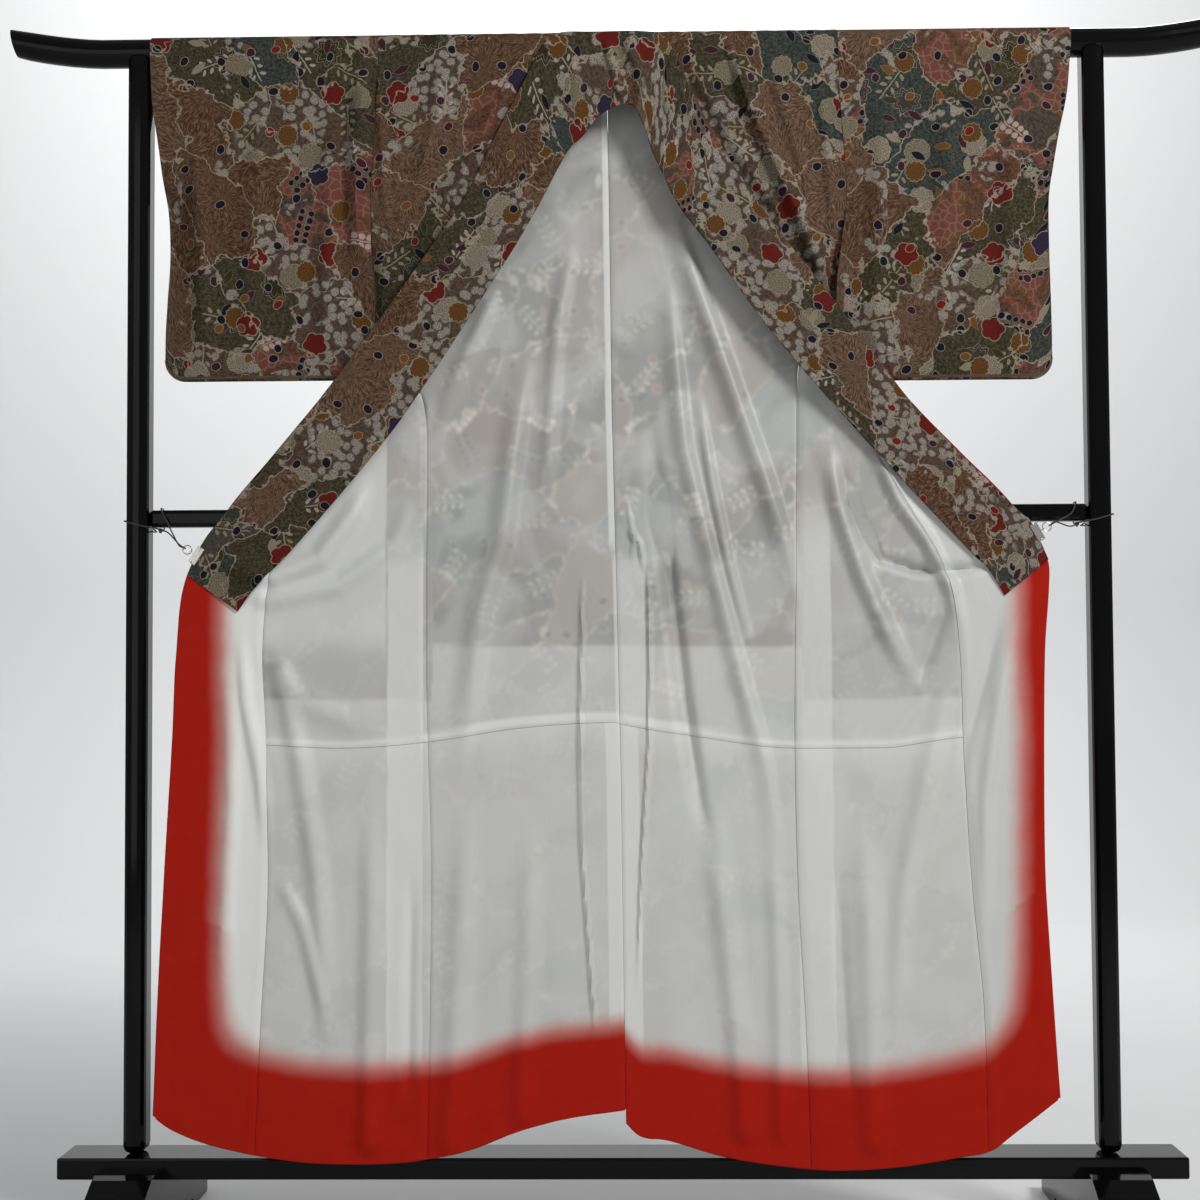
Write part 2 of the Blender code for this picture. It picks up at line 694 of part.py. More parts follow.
def sleeve_half_depth(side, height, share):
    """Return half of a sleeve's depth: round the rail above, flat below, shut below the cuff's mouth."""
    down = (RAIL_HEIGHT - height) / (RAIL_HEIGHT - SLEEVE_BOTTOM[side])
    half = mix(DRAPE_RADIUS, SLEEVE_FOOT_HALF, min(max(down, 0.0), 1.0) ** SLEEVE_FOOT_CURVE)
    shut = smooth((share - SHUT_FROM) / SHUT_WIDTH) * smooth((MOUTH_BOTTOM - height) / MOUTH_CLOSING)
    return mix(half, SLEEVE_CLOSED_HALF, shut)


def sleeve_column(side, share):
    """Return one ring of a sleeve, from its front bottom over the rail to its back bottom."""
    sign = SIDES[side]
    foot = sleeve_foot(side, share)
    top = SLEEVE_HEIGHTS[0]
    bottom = SLEEVE_HEIGHTS[-1]
    ring = []

    def place(height, direction):
        level = mix(top, max(foot + SLEEVE_FOOT_MARGIN, SLEEVE_LOWEST_ROW), (top - height) / (top - bottom))
        seam = sleeve_value(side, level, "seam") + SEAM_INSET
        tip = sleeve_value(side, level, "tip")
        out = mix(seam, tip, share)
        half = sleeve_half_depth(side, level, share)
        ring.append((Vector((sign * out, direction * half, level)), Vector((0.0, direction, 0.0))))

    for height in reversed(SLEEVE_HEIGHTS):
        place(height, -1)
    seam = sleeve_value(side, RAIL_HEIGHT, "seam") + SEAM_INSET
    tip = sleeve_value(side, RAIL_HEIGHT, "tip")
    angle = math.pi / 2
    while angle > -math.pi / 2 - 0.01:
        ring += arc_row(side, angle, [mix(seam, tip, share)], DRAPE_RADIUS)
        angle -= ARC_STEP
    for height in SLEEVE_HEIGHTS:
        place(height, 1)
    seam = sleeve_value(side, foot, "seam") + SEAM_INSET
    tip = sleeve_value(side, foot, "tip")
    out = mix(seam, tip, share)
    half = max(sleeve_half_depth(side, foot, share), SLEEVE_CLOSED_HALF)
    if share == 1.0:
        out = tip - SLEEVE_CORNER_INSET
    for angle in FOOT_TURNS:
        normal = Vector((0.0, math.cos(angle), -math.sin(angle)))
        middle = Vector((sign * out, 0.0, foot + half))
        ring.append((middle + normal * half, normal))
    return ring


def sleeve(side, material, collection):
    """Build one sleeve as a flat tube round the rail, open at its cuff and below the armhole."""
    rings = [sleeve_column(side, share) for share in SLEEVE_COLUMNS]
    count = len(rings[0])
    grid = {}
    for column, ring in enumerate(rings):
        for row in range(count + 1):
            grid[(row, column)] = ring[row % count]
    closed_wall(f"sleeve_{side}", grid, count, HALF_GAP, HALF_GAP + OUTER_WALL, material, collection)


def closed_wall(name, grid, count, near, far, material, collection):
    """Loft a wall whose rows close on themselves: the last row of the grid is the first one again."""
    bm = bmesh.new()
    sheets = []
    for offset in (near, far):
        sheet = {}
        for (row, column), (point, normal) in grid.items():
            if row < count:
                sheet[(row, column)] = bm.verts.new(point + normal * offset)
        sheets.append(sheet)
    columns = max(column for _, column in grid)
    for row in range(count):
        after = (row + 1) % count
        for column in range(columns):
            corners = [(row, column), (after, column), (after, column + 1), (row, column + 1)]
            bm.faces.new([sheets[1][corner] for corner in corners])
            bm.faces.new([sheets[0][corner] for corner in reversed(corners)])
        for column in (0, columns):
            inner = [sheets[0][(row, column)], sheets[0][(after, column)]]
            bm.faces.new([*inner, sheets[1][(after, column)], sheets[1][(row, column)]])
    return object_from_bmesh(name, bm, material, collection)


def spline(values, share):
    """Return a smooth value a share of the way between the two middle ones of four."""
    first, start, end, last = values
    return 0.5 * (2 * start + (end - first) * share + (2 * first - 5 * start + 4 * end - last) * share ** 2
                  + (3 * start - first - 3 * end + last) * share ** 3)


def collar_station(place):
    """Return the collar's measures at a place along its table, counted in rows."""
    index = min(int(place), len(COLLAR) - 2)
    rows = [COLLAR[min(max(index + step, 0), len(COLLAR) - 1)] for step in (-1, 0, 1, 2)]
    return Station(*(spline(values, place - index) for values in zip(*rows)))


def collar_base(x, drop):
    """Return the point and normal under the collar at a drop down the front of the rail."""
    quarter = DRAPE_RADIUS * math.pi / 2
    if drop < quarter:
        angle = drop / DRAPE_RADIUS
        normal = Vector((0.0, -math.sin(angle), math.cos(angle)))
        return Vector((x, 0.0, RAIL_HEIGHT)) + normal * DRAPE_RADIUS, normal
    height = RAIL_HEIGHT - (drop - quarter)
    side = "left" if x < 0 else "right"
    forward = front_value(side, height, "edge_forward")
    return Vector((x, -forward, height)), Vector((0.0, -1.0, 0.0))


def collar(material, collection):
    """Build the wide collar as one band from end to end, its outer face to the viewer."""
    rows = []
    steps = (len(COLLAR) - 1) * COLLAR_STEPS
    for step in range(steps + 1):
        station = collar_station(step / COLLAR_STEPS)
        row = []
        for share in COLLAR_COLUMNS:
            x = mix(station.out_x, station.in_x, share)
            drop = mix(station.out_drop, station.in_drop, share)
            point, normal = collar_base(x, drop)
            bulge = station.lift * math.sin(math.pi * min(share * COLLAR_ROLL, 1.0) * 0.5)
            row.append((point + normal * (COLLAR_BACK + bulge), normal))
        rows.append(row)
    cloth_wall("collar", grid_from_rows(rows), 0.0, COLLAR_WALL, material, collection)


def box(name, size, centre, bevel, material, collection, segments=3):
    """Build a box with rounded edges."""
    bm = bmesh.new()
    bmesh.ops.create_cube(bm, size=1.0)
    for vertex in bm.verts:
        vertex.co = Vector(vertex.co[axis] * size[axis] + centre[axis] for axis in range(3))
    obj = object_from_bmesh(name, bm, material, collection)
    add_bevel(obj, bevel, segments)
    return obj


def add_bevel(obj, width, segments):
    """Round the sharp edges of an object."""
    modifier = obj.modifiers.new("rounded edges", "BEVEL")
    modifier.width = width
    modifier.segments = segments
    modifier.limit_method = "ANGLE"
    modifier.angle_limit = math.radians(40)
    return modifier


def cut(obj, cutter, cutters):
    """Cut one object with another and hide the cutter."""
    for collection in list(cutter.users_collection):
        collection.objects.unlink(cutter)
    cutters.objects.link(cutter)
    cutter.hide_render = True
    cutter.display_type = "WIRE"
    modifier = obj.modifiers.new("cut", "BOOLEAN")
    modifier.operation = "DIFFERENCE"
    modifier.solver = "EXACT"
    modifier.object = cutter


def rail(material, collection):
    """Build the round top rail, whose ends sweep up and are cut on a slant."""
    bm = bmesh.new()
    rise_length = RAIL_HALF_LENGTH - RAIL_STRAIGHT_HALF
    outs = [0.0, 0.25, 0.5, RAIL_STRAIGHT_HALF]
    outs += [RAIL_STRAIGHT_HALF + rise_length * share for share in shares(RAIL_TIP_STEPS)[1:]]
    path = [-out for out in reversed(outs[1:])] + outs
    rings = []
    for x in path:
        along = max(abs(x) - RAIL_STRAIGHT_HALF, 0.0) / rise_length
        height = RAIL_HEIGHT + RAIL_TIP_RISE * along ** RAIL_TIP_CURVE
        rate = RAIL_TIP_CURVE * RAIL_TIP_RISE / rise_length * along ** (RAIL_TIP_CURVE - 1)
        slope = math.atan(rate) * math.copysign(1, x)
        ring = []
        for index in range(RAIL_SIDES):
            angle = 2 * math.pi * index / RAIL_SIDES
            up = RAIL_RADIUS * math.sin(angle)
            slant = RAIL_TIP_SLANT * up * along ** RAIL_SLANT_CURVE * math.copysign(1, x)
            ring.append(bm.verts.new((x - up * math.sin(slope) + slant, RAIL_RADIUS * math.cos(angle),
                                      height + up * math.cos(slope))))
        rings.append(ring)
    for start, end in zip(rings, rings[1:]):
        for index in range(RAIL_SIDES):
            after = (index + 1) % RAIL_SIDES
            bm.faces.new([start[index], end[index], end[after], start[after]])
    bm.faces.new(rings[0])
    bm.faces.new(list(reversed(rings[-1])))
    obj = object_from_bmesh("rack_top_rail", bm, material, collection)
    for polygon in obj.data.polygons:
        polygon.use_smooth = len(polygon.vertices) == 4
    return obj


def posts(material, collection, cutters):
    """Build both posts, hollowed at the top to take the rail."""
    foot = PLANK_TOP + FIT
    top = RAIL_HEIGHT - POST_TOP_DROP
    for side, sign in SIDES.items():
        size = (POST_WIDTH, POST_DEPTH, top - foot)
        post = box(f"rack_post_{side}", size, (sign * POST_OFFSET, 0.0, (top + foot) / 2), POST_CORNER,
                   material, collection, 3)
        bm = bmesh.new()
        bmesh.ops.create_cone(bm, cap_ends=True, segments=SADDLE_SIDES, radius1=RAIL_RADIUS + 2 * FIT,
                              radius2=RAIL_RADIUS + 2 * FIT, depth=4 * POST_WIDTH)
        for vertex in bm.verts:
            vertex.co = Vector((sign * POST_OFFSET + vertex.co.z, vertex.co.y, RAIL_HEIGHT - vertex.co.x))
        cutter = object_from_bmesh(f"rail_cutter_{side}", bm, material, collection)
        cut(post, cutter, cutters)


def feet(material, collection, cutters):
    """Build both feet: long blocks with sloped toes, an arched underside and a bed for the plank."""
    half = [(point.out, point.height) for point in FOOT_TOP + FOOT_UNDER]
    outline = half + [(-out, height) for out, height in reversed(half[1:-1])]
    for side, sign in SIDES.items():
        bm = bmesh.new()
        faces = []
        for step in (-0.5, 0.5):
            x = sign * POST_OFFSET + step * FOOT_WIDTH
            faces.append([bm.verts.new((x, out, height)) for out, height in outline])
        bm.faces.new(faces[0])
        bm.faces.new(list(reversed(faces[1])))
        for index in range(len(outline)):
            after = (index + 1) % len(outline)
            bm.faces.new([faces[0][index], faces[0][after], faces[1][after], faces[1][index]])
        foot = object_from_bmesh(f"rack_foot_{side}", bm, material, collection)
        for polygon in foot.data.polygons:
            polygon.use_smooth = False
        size = (PLANK_LENGTH, PLANK_DEPTH + 2 * FIT, PLANK_THICKNESS + 2 * FIT)
        bed = box(f"plank_bed_cutter_{side}", size, (0.0, 0.0, PLANK_TOP - PLANK_THICKNESS / 2), 0.0,
                  material, collection)
        bed.modifiers.clear()
        cut(foot, bed, cutters)


def rack(materials, collection, cutters):
    """Build the lacquered rack."""
    lacquer = materials["black_lacquer"]
    rail(lacquer, collection)
    posts(lacquer, collection, cutters)
    length = 2 * (POST_OFFSET - POST_WIDTH / 2 - FIT)
    box("rack_mid_rail", (length, MID_RAIL_SECTION, MID_RAIL_SECTION), (0.0, 0.0, MID_RAIL_HEIGHT),
        MID_RAIL_CORNER, lacquer, collection)
    box("rack_plank", (PLANK_LENGTH, PLANK_DEPTH, PLANK_THICKNESS),
        (0.0, 0.0, PLANK_TOP - PLANK_THICKNESS / 2), PLANK_EDGE, lacquer, collection, 2)
    feet(lacquer, collection, cutters)


def clip_frame(side):
    """Return a clip's place on the cloth's edge and its ways along the jaws, outwards and forwards."""
    sign = SIDES[side]
    clip = CLIPS[side]
    origin = Vector((sign * clip.out, -clip.forward, clip.height))
    outwards = Vector((sign * math.cos(clip.turn), 0.0, math.sin(clip.turn)))
    along = Vector((-sign * math.sin(clip.turn), 0.0, math.cos(clip.turn)))
    return origin, along, outwards, Vector((0.0, -1.0, 0.0))


def prism(outline, frame, start, end):
    """Return a bmesh of an outline in a clip's outward and forward directions, run along its jaws."""
    origin, along, outwards, forwards = frame
    bm = bmesh.new()
    ends = []
    for place in (start, end):
        ends.append([bm.verts.new(origin + along * place + outwards * out + forwards * front)
                     for out, front in outline])
    bm.faces.new(ends[0])
    bm.faces.new(list(reversed(ends[1])))
    for index in range(len(outline)):
        after = (index + 1) % len(outline)
        bm.faces.new([ends[0][index], ends[0][after], ends[1][after], ends[1][index]])
    return bm


def clip(side, material, collection, cutters):
    """Build one clip: a folded strip over the cloth's edge, with a lug for its ring."""
    frame = clip_frame(side)
    inner = CLIP_HALF_OPENING
    outer = CLIP_HALF_OPENING + CLIP_SHEET
    back = CLIP_SPINE + CLIP_SHEET
    outline = [(-CLIP_REACH, outer), (back, outer), (back, -outer), (-CLIP_REACH, -outer),
               (-CLIP_REACH, -inner), (CLIP_SPINE, -inner), (CLIP_SPINE, inner), (-CLIP_REACH, inner)]
    bm = prism(outline, frame, -CLIP_LENGTH / 2, CLIP_LENGTH / 2)
    jaws = object_from_bmesh(f"clip_{side}", bm, material, collection)
    root = CLIP_SPINE + 0.5 * CLIP_SHEET
    half = LUG_WIDTH / 2
    plate = [(root, half), (root + LUG_LENGTH, half), (root + LUG_LENGTH, -half), (root, -half)]
    bm = prism(plate, frame, -LUG_SHEET / 2, LUG_SHEET / 2)
    lug = object_from_bmesh(f"lug_cutter_{side}", bm, material, collection)
    cut(jaws, lug, cutters)
    jaws.modifiers[-1].operation = "UNION"
    hole_at = root + LUG_LENGTH - half
    hole = []
    for index in range(HOLE_SIDES):
        angle = 2 * math.pi * index / HOLE_SIDES
        hole.append((hole_at + LUG_HOLE_RADIUS * math.cos(angle), LUG_HOLE_RADIUS * math.sin(angle)))
    bm = prism(hole, frame, -2 * LUG_SHEET, 2 * LUG_SHEET)
    cut(jaws, object_from_bmesh(f"hole_cutter_{side}", bm, material, collection), cutters)
    for polygon in jaws.data.polygons:
        polygon.use_smooth = False


def ring_centre(side):
    """Return the middle of a clip's ring, which hangs in the lug's hole and is pulled outwards."""
    origin, _, outwards, _ = clip_frame(side)
    hole_at = CLIP_SPINE + 0.5 * CLIP_SHEET + LUG_LENGTH - LUG_WIDTH / 2
    pulled = LUG_HOLE_RADIUS - RING_WIRE - FIT
    return origin + outwards * (hole_at + pulled + RING_RADIUS)


def ring(side, material, collection):
    """Build one wire ring, facing the viewer."""
    centre = ring_centre(side)
    _, along, outwards, forwards = clip_frame(side)
    bm = bmesh.new()
    loops = []
    for turn in range(RING_TURNS):
        angle = 2 * math.pi * turn / RING_TURNS
        outward = along * math.sin(angle) + outwards * math.cos(angle)
        loop = []
        for step in range(RING_SIDES):
            tilt = 2 * math.pi * step / RING_SIDES
            radius = RING_RADIUS + RING_WIRE * math.cos(tilt)
            loop.append(bm.verts.new(centre + outward * radius + forwards * RING_WIRE * math.sin(tilt)))
        loops.append(loop)
    for turn, loop in enumerate(loops):
        following = loops[(turn + 1) % RING_TURNS]
        for step in range(RING_SIDES):
            after = (step + 1) % RING_SIDES
            bm.faces.new([loop[step], following[step], following[after], loop[after]])
    object_from_bmesh(f"clip_ring_{side}", bm, material, collection)


def evenly_spaced(keys, spacing):
    """Run a smooth curve through key points and return points on it at an even spacing."""
    fine = []
    for index in range(len(keys) - 1):
        window = [keys[min(max(index + step, 0), len(keys) - 1)] for step in (-1, 0, 1, 2)]
        for part in range(CURVE_PARTS):
            share = part / CURVE_PARTS
            fine.append(Vector(spline([point[axis] for point in window], share) for axis in range(3)))
    fine.append(keys[-1])
    points = [fine[0]]
    travelled = 0.0
    for before, after in zip(fine, fine[1:]):
        travelled += (after - before).length
        if travelled >= spacing:
            points.append(after)
            travelled = 0.0
    if travelled < 0.5 * spacing:
        points.pop()
    points.append(fine[-1])
    return points


def cord_route(side):
    """Return a tie's points: from its knot through the ring, then round the mid rail and the post."""
    sign = SIDES[side]
    centre = ring_centre(side)
    _, _, outwards, forwards = clip_frame(side)
    beside = RING_WIRE + CORD_RADIUS + FIT
    wire = centre + outwards * RING_RADIUS
    through = [wire + (outwards * out + forwards * front) * beside for out, front in RING_PASS]
    to_ring = [Vector((sign * point.out, -point.forward, point.height)) for point in CORD_TO_RING]
    from_ring = [Vector((sign * point.out, -point.forward, point.height)) for point in CORD_FROM_RING]
    return (evenly_spaced([*to_ring, through[0]], CORD_STEP) + through[1:-1]
            + evenly_spaced([through[-1], *from_ring], CORD_STEP))


def tie_cord(side, material, collection):
    """Build one tie cord as a round tube along its route."""
    points = cord_route(side)
    curve = bpy.data.curves.new(f"tie_cord_{side}", "CURVE")
    curve.dimensions = "3D"
    curve.bevel_depth = CORD_RADIUS
    curve.bevel_resolution = 2
    curve.use_fill_caps = True
    line = curve.splines.new("POLY")
    line.points.add(len(points) - 1)
    for slot, point in zip(line.points, points):
        slot.co = (*point, 1.0)
    curve.materials.append(material)
    collection.objects.link(bpy.data.objects.new(f"tie_cord_{side}", curve))


def main():
    """Build the whole part."""
    clear_scene()
    collection = make_collection(COLLECTION_NAME)
    cutters = make_collection("cutters")
    materials = make_materials()
    rack(materials, collection, cutters)
    for side in SIDES:
        body_panel(side, materials["komon_silk"], collection)
        okumi_panel(side, materials["komon_silk"], collection)
        sleeve(side, materials["komon_silk"], collection)
        linings(side, materials, collection)
        clip(side, materials["clip_steel"], collection, cutters)
        ring(side, materials["clip_steel"], collection)
        tie_cord(side, materials["black_cord"], collection)
    collar(materials["komon_silk"], collection)


main()
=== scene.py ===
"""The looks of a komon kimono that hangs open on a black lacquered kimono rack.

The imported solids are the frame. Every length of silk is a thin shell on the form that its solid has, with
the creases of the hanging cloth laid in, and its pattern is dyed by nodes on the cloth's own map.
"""

import logging
import math
from dataclasses import dataclass, field
from enum import Enum
from typing import NamedTuple, Sequence

import bmesh
import bpy
import numpy as np
from mathutils import Matrix, Vector


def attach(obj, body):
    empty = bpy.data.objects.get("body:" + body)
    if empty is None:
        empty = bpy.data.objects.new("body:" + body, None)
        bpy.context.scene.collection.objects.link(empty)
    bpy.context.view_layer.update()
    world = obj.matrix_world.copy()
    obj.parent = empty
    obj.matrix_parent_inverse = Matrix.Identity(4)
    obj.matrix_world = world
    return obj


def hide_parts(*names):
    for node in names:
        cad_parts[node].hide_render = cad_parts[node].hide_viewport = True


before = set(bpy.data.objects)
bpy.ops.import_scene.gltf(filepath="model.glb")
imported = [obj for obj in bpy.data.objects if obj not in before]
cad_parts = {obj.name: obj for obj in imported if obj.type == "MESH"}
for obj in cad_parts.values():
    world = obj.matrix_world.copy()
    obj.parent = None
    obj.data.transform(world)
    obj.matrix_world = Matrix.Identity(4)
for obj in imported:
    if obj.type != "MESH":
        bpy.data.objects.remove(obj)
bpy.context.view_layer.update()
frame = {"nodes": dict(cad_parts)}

LOG = logging.getLogger("kimono")


class Side(Enum):
    """The two halves of the garment as the viewer sees them; the value is the sign of x."""

    LEFT = -1
    RIGHT = 1

    @property
    def word(self) -> str:
        """Return the word that piece names carry."""
        return self.name.lower()


# Measures shared with the solids
RAIL_HEIGHT = 1.6833
DRAPE_RADIUS = 0.0211
LAYER_STEP = 0.0030
TURN_RADIUS = 0.0025
NECK_HALF_WIDTH = 0.100
NECK_ARC = math.radians(22.5)
HEM_LEVEL = 0.12
MID_RAIL_HEIGHT = 1.0110
HEM_BLEND_TOP = 0.78
WAIST_LEVEL = 0.70
ARMHOLE_BOTTOM = 1.46
SEAM_JOIN = 1.34
SEAM_INSET = 0.00025
SEAM_LAP = 0.0012
LAP_TOP = 1.17
COLLAR_BACK = 0.0019
DYE_REACH = 0.124
BACK_LINING_TOP = 1.662
FRONT_LINING_TOP = {Side.LEFT: 1.28, Side.RIGHT: 1.22}

# How far along its normals each cloth has its inner and its outer face
SILK_FACES = (0.0003, 0.0010)
SLEEVE_FACES = (0.00015, 0.0011)
SLEEVE_LINING_FACES = (-0.0004, -0.0001)
LINING_FACES = (-0.0016, -0.0010)


class Depth(NamedTuple):
    """How far forward the back hangs at a height."""

    height: float
    forward: float


class FrontRow(NamedTuple):
    """One level of a front: its side edge, okumi seam and front edge as distances from the middle."""

    height: float
    side: float
    seam: float
    edge: float
    edge_forward: float


class Seam(NamedTuple):
    """A place of the centre back seam."""

    height: float
    x: float


class Band(NamedTuple):
    """How far in from a front edge the lining is dyed red, at a height."""

    height: float
    wide: float


class Level(NamedTuple):
    """A height by the distance out from the middle."""

    out: float
    height: float


class Cuff(NamedTuple):
    """One level of a sleeve: its body seam and its outer edge."""

    height: float
    seam: float
    tip: float


class Station(NamedTuple):
    """One place along the collar; a drop is the way down the cloth from the rail's top line."""

    out_x: float
    out_drop: float
    in_x: float
    in_drop: float
    lift: float


class CordPoint(NamedTuple):
    """A place on a tie cord's route."""

    out: float
    forward: float
    height: float


BACK_HANG = (
    Depth(RAIL_HEIGHT, -DRAPE_RADIUS),
    Depth(1.03, 0.0145),
    Depth(0.99, 0.0165),
    Depth(HEM_LEVEL, 0.0485),
)

# Each front from the rail to the hem
LEFT_FRONT = (
    FrontRow(1.683, 0.336, 0.104, 0.104, 0.0211),
    FrontRow(1.640, 0.337, 0.123, 0.123, 0.0214),
    FrontRow(1.560, 0.340, 0.165, 0.165, 0.0230),
    FrontRow(1.470, 0.345, 0.209, 0.209, 0.0250),
    FrontRow(1.445, 0.344, 0.224, 0.224, 0.0265),
    FrontRow(1.420, 0.346, 0.241, 0.241, 0.0280),
    FrontRow(1.340, 0.342, 0.297, 0.297, 0.0290),
    FrontRow(1.280, 0.338, 0.341, 0.341, 0.0290),
    FrontRow(1.220, 0.298, 0.372, 0.386, 0.0290),
    FrontRow(1.170, 0.272, 0.392, 0.4235, 0.0285),
    FrontRow(1.100, 0.268, 0.425, 0.4825, 0.0280),
    FrontRow(1.020, 0.268, 0.462, 0.5495, 0.0270),
    FrontRow(0.930, 0.269, 0.487, 0.6035, 0.0290),
    FrontRow(0.820, 0.269, 0.498, 0.618, 0.0320),
    FrontRow(0.700, 0.266, 0.4925, 0.6225, 0.0350),
    FrontRow(0.500, 0.261, 0.488, 0.631, 0.0420),
    FrontRow(0.300, 0.2625, 0.4965, 0.6385, 0.0490),
    FrontRow(0.120, 0.266, 0.5035, 0.643, 0.0550),
)
RIGHT_FRONT = (
    FrontRow(1.683, 0.318, 0.083, 0.083, 0.0211),
    FrontRow(1.640, 0.319, 0.097, 0.097, 0.0214),
    FrontRow(1.560, 0.323, 0.139, 0.139, 0.0230),
    FrontRow(1.470, 0.327, 0.193, 0.193, 0.0250),
    FrontRow(1.445, 0.321, 0.209, 0.209, 0.0265),
    FrontRow(1.420, 0.321, 0.225, 0.225, 0.0280),
    FrontRow(1.340, 0.313, 0.287, 0.287, 0.0290),
    FrontRow(1.280, 0.296, 0.331, 0.331, 0.0290),
    FrontRow(1.220, 0.259, 0.360, 0.375, 0.0290),
    FrontRow(1.170, 0.257, 0.358, 0.4125, 0.0285),
    FrontRow(1.100, 0.256, 0.367, 0.4785, 0.0280),
    FrontRow(1.020, 0.254, 0.411, 0.555, 0.0270),
    FrontRow(0.930, 0.253, 0.459, 0.603, 0.0290),
    FrontRow(0.820, 0.250, 0.478, 0.595, 0.0320),
    FrontRow(0.700, 0.248, 0.4807, 0.5915, 0.0350),
    FrontRow(0.500, 0.250, 0.4885, 0.5885, 0.0420),
    FrontRow(0.300, 0.259, 0.503, 0.5945, 0.0490),
    FrontRow(0.120, 0.2636, 0.5045, 0.602, 0.0550),
)
FRONT = {Side.LEFT: LEFT_FRONT, Side.RIGHT: RIGHT_FRONT}

# Where each front turns over on its diagonal fold, from the collar down to the side seam
FOLD_LINE = {
    Side.LEFT: (Level(0.2240, 1.445), Level(0.2220, 1.420), Level(0.2380, 1.340), Level(0.2450, 1.280),
                Level(0.2620, 1.220), Level(0.2790, 1.185)),
    Side.RIGHT: (Level(0.2090, 1.445), Level(0.2050, 1.420), Level(0.2250, 1.340), Level(0.2380, 1.280),
                 Level(0.2480, 1.250), Level(0.2660, 1.230)),
}

# Where the centre back seam runs
CENTRE_SEAM = (
    Seam(1.71, -0.012),
    Seam(1.465, -0.008),
    Seam(1.17, -0.0055),
    Seam(0.89, 0.0002),
    Seam(0.61, 0.0048),
    Seam(0.12, 0.0085),
)

# The dyed band along each front edge
DYED_BAND = {
    Side.LEFT: (Band(0.12, 0.078), Band(0.70, 0.068), Band(0.93, 0.052), Band(1.10, 0.030),
                Band(1.20, 0.022)),
    Side.RIGHT: (Band(0.12, 0.038), Band(0.45, 0.030), Band(0.70, 0.026), Band(0.93, 0.040),
                 Band(1.10, 0.030)),
}

# The hem's height by the distance out from the middle
HEM = {
    Side.LEFT: (
        Level(-0.012, 0.188),
        Level(0.078, 0.1747),
        Level(0.137, 0.1592),
        Level(0.2106, 0.1318),
        Level(0.263, 0.1211),
        Level(0.350, 0.1147),
        Level(0.431, 0.1172),
        Level(0.510, 0.1286),
        Level(0.579, 0.1460),
        Level(0.625, 0.1665),
        Level(0.650, 0.1860),
    ),
    Side.RIGHT: (
        Level(0.006, 0.173),
        Level(0.031, 0.1504),
        Level(0.062, 0.1469),
        Level(0.1386, 0.1248),
        Level(0.2436, 0.1086),
        Level(0.298, 0.1058),
        Level(0.385, 0.1108),
        Level(0.4726, 0.125),
        Level(0.507, 0.1318),
        Level(0.5388, 0.1552),
        Level(0.605, 0.206),
    ),
}

# The edges of the sleeves
SLEEVE = {
    Side.LEFT: (
        Cuff(1.683, 0.336, 0.6635),
        Cuff(1.606, 0.338, 0.6595),
        Cuff(1.534, 0.343, 0.6492),
        Cuff(1.462, 0.347, 0.6403),
        Cuff(1.391, 0.346, 0.6371),
        Cuff(1.319, 0.342, 0.6411),
        Cuff(1.262, 0.342, 0.6437),
        Cuff(1.206, 0.342, 0.6437),
    ),
    Side.RIGHT: (
        Cuff(1.683, 0.318, 0.6482),
        Cuff(1.606, 0.3205, 0.6410),
        Cuff(1.534, 0.325, 0.6260),
        Cuff(1.462, 0.3285, 0.6165),
        Cuff(1.391, 0.3200, 0.6167),
        Cuff(1.319, 0.3130, 0.6180),
        Cuff(1.262, 0.3130, 0.6187),
        Cuff(1.206, 0.3130, 0.6187),
    ),
}
SLEEVE_BOTTOM = {Side.LEFT: 1.2085, Side.RIGHT: 1.2020}
SLEEVE_CORNER = 0.030
SLEEVE_FOOT_HALF = 0.0050
SLEEVE_SHUT_HALF = 0.0002

# The collar band from its left end over the rail to its right end
COLLAR = (
    Station(-0.6040, 0.787, -0.5330, 0.839, 0.000),
    Station(-0.5870, 0.748, -0.5080, 0.807, 0.001),
    Station(-0.5490, 0.696, -0.4570, 0.753, 0.002),
    Station(-0.4196, 0.541, -0.3330, 0.609, 0.003),
    Station(-0.3432, 0.440, -0.2560, 0.502, 0.003),
    Station(-0.2539, 0.315, -0.1680, 0.368, 0.003),
    Station(-0.2099, 0.249, -0.1200, 0.290, 0.003),
    Station(-0.1671, 0.161, -0.0800, 0.214, 0.003),
    Station(-0.1240, 0.078, -0.0630, 0.185, 0.003),
    Station(-0.1000, 0.032, -0.0450, 0.168, 0.003),
    Station(-0.0700, 0.012, -0.0280, 0.146, 0.003),
    Station(-0.0350, 0.010, -0.0150, 0.134, 0.003),
    Station(0.0050, 0.010, 0.0060, 0.124, 0.003),
    Station(0.0400, 0.012, 0.0260, 0.126, 0.006),
    Station(0.0700, 0.022, 0.0420, 0.155, 0.008),
    Station(0.0900, 0.055, 0.0530, 0.190, 0.006),
    Station(0.1120, 0.107, 0.0660, 0.218, 0.004),
    Station(0.1593, 0.195, 0.0900, 0.268, 0.003),
    Station(0.2232, 0.294, 0.1380, 0.334, 0.003),
    Station(0.3078, 0.405, 0.2220, 0.453, 0.003),
    Station(0.4139, 0.549, 0.3510, 0.605, 0.003),
    Station(0.5555, 0.697, 0.4900, 0.757, 0.002),
    Station(0.5790, 0.719, 0.5170, 0.783, 0.001),
    Station(0.6031, 0.773, 0.5412, 0.823, 0.000),
)

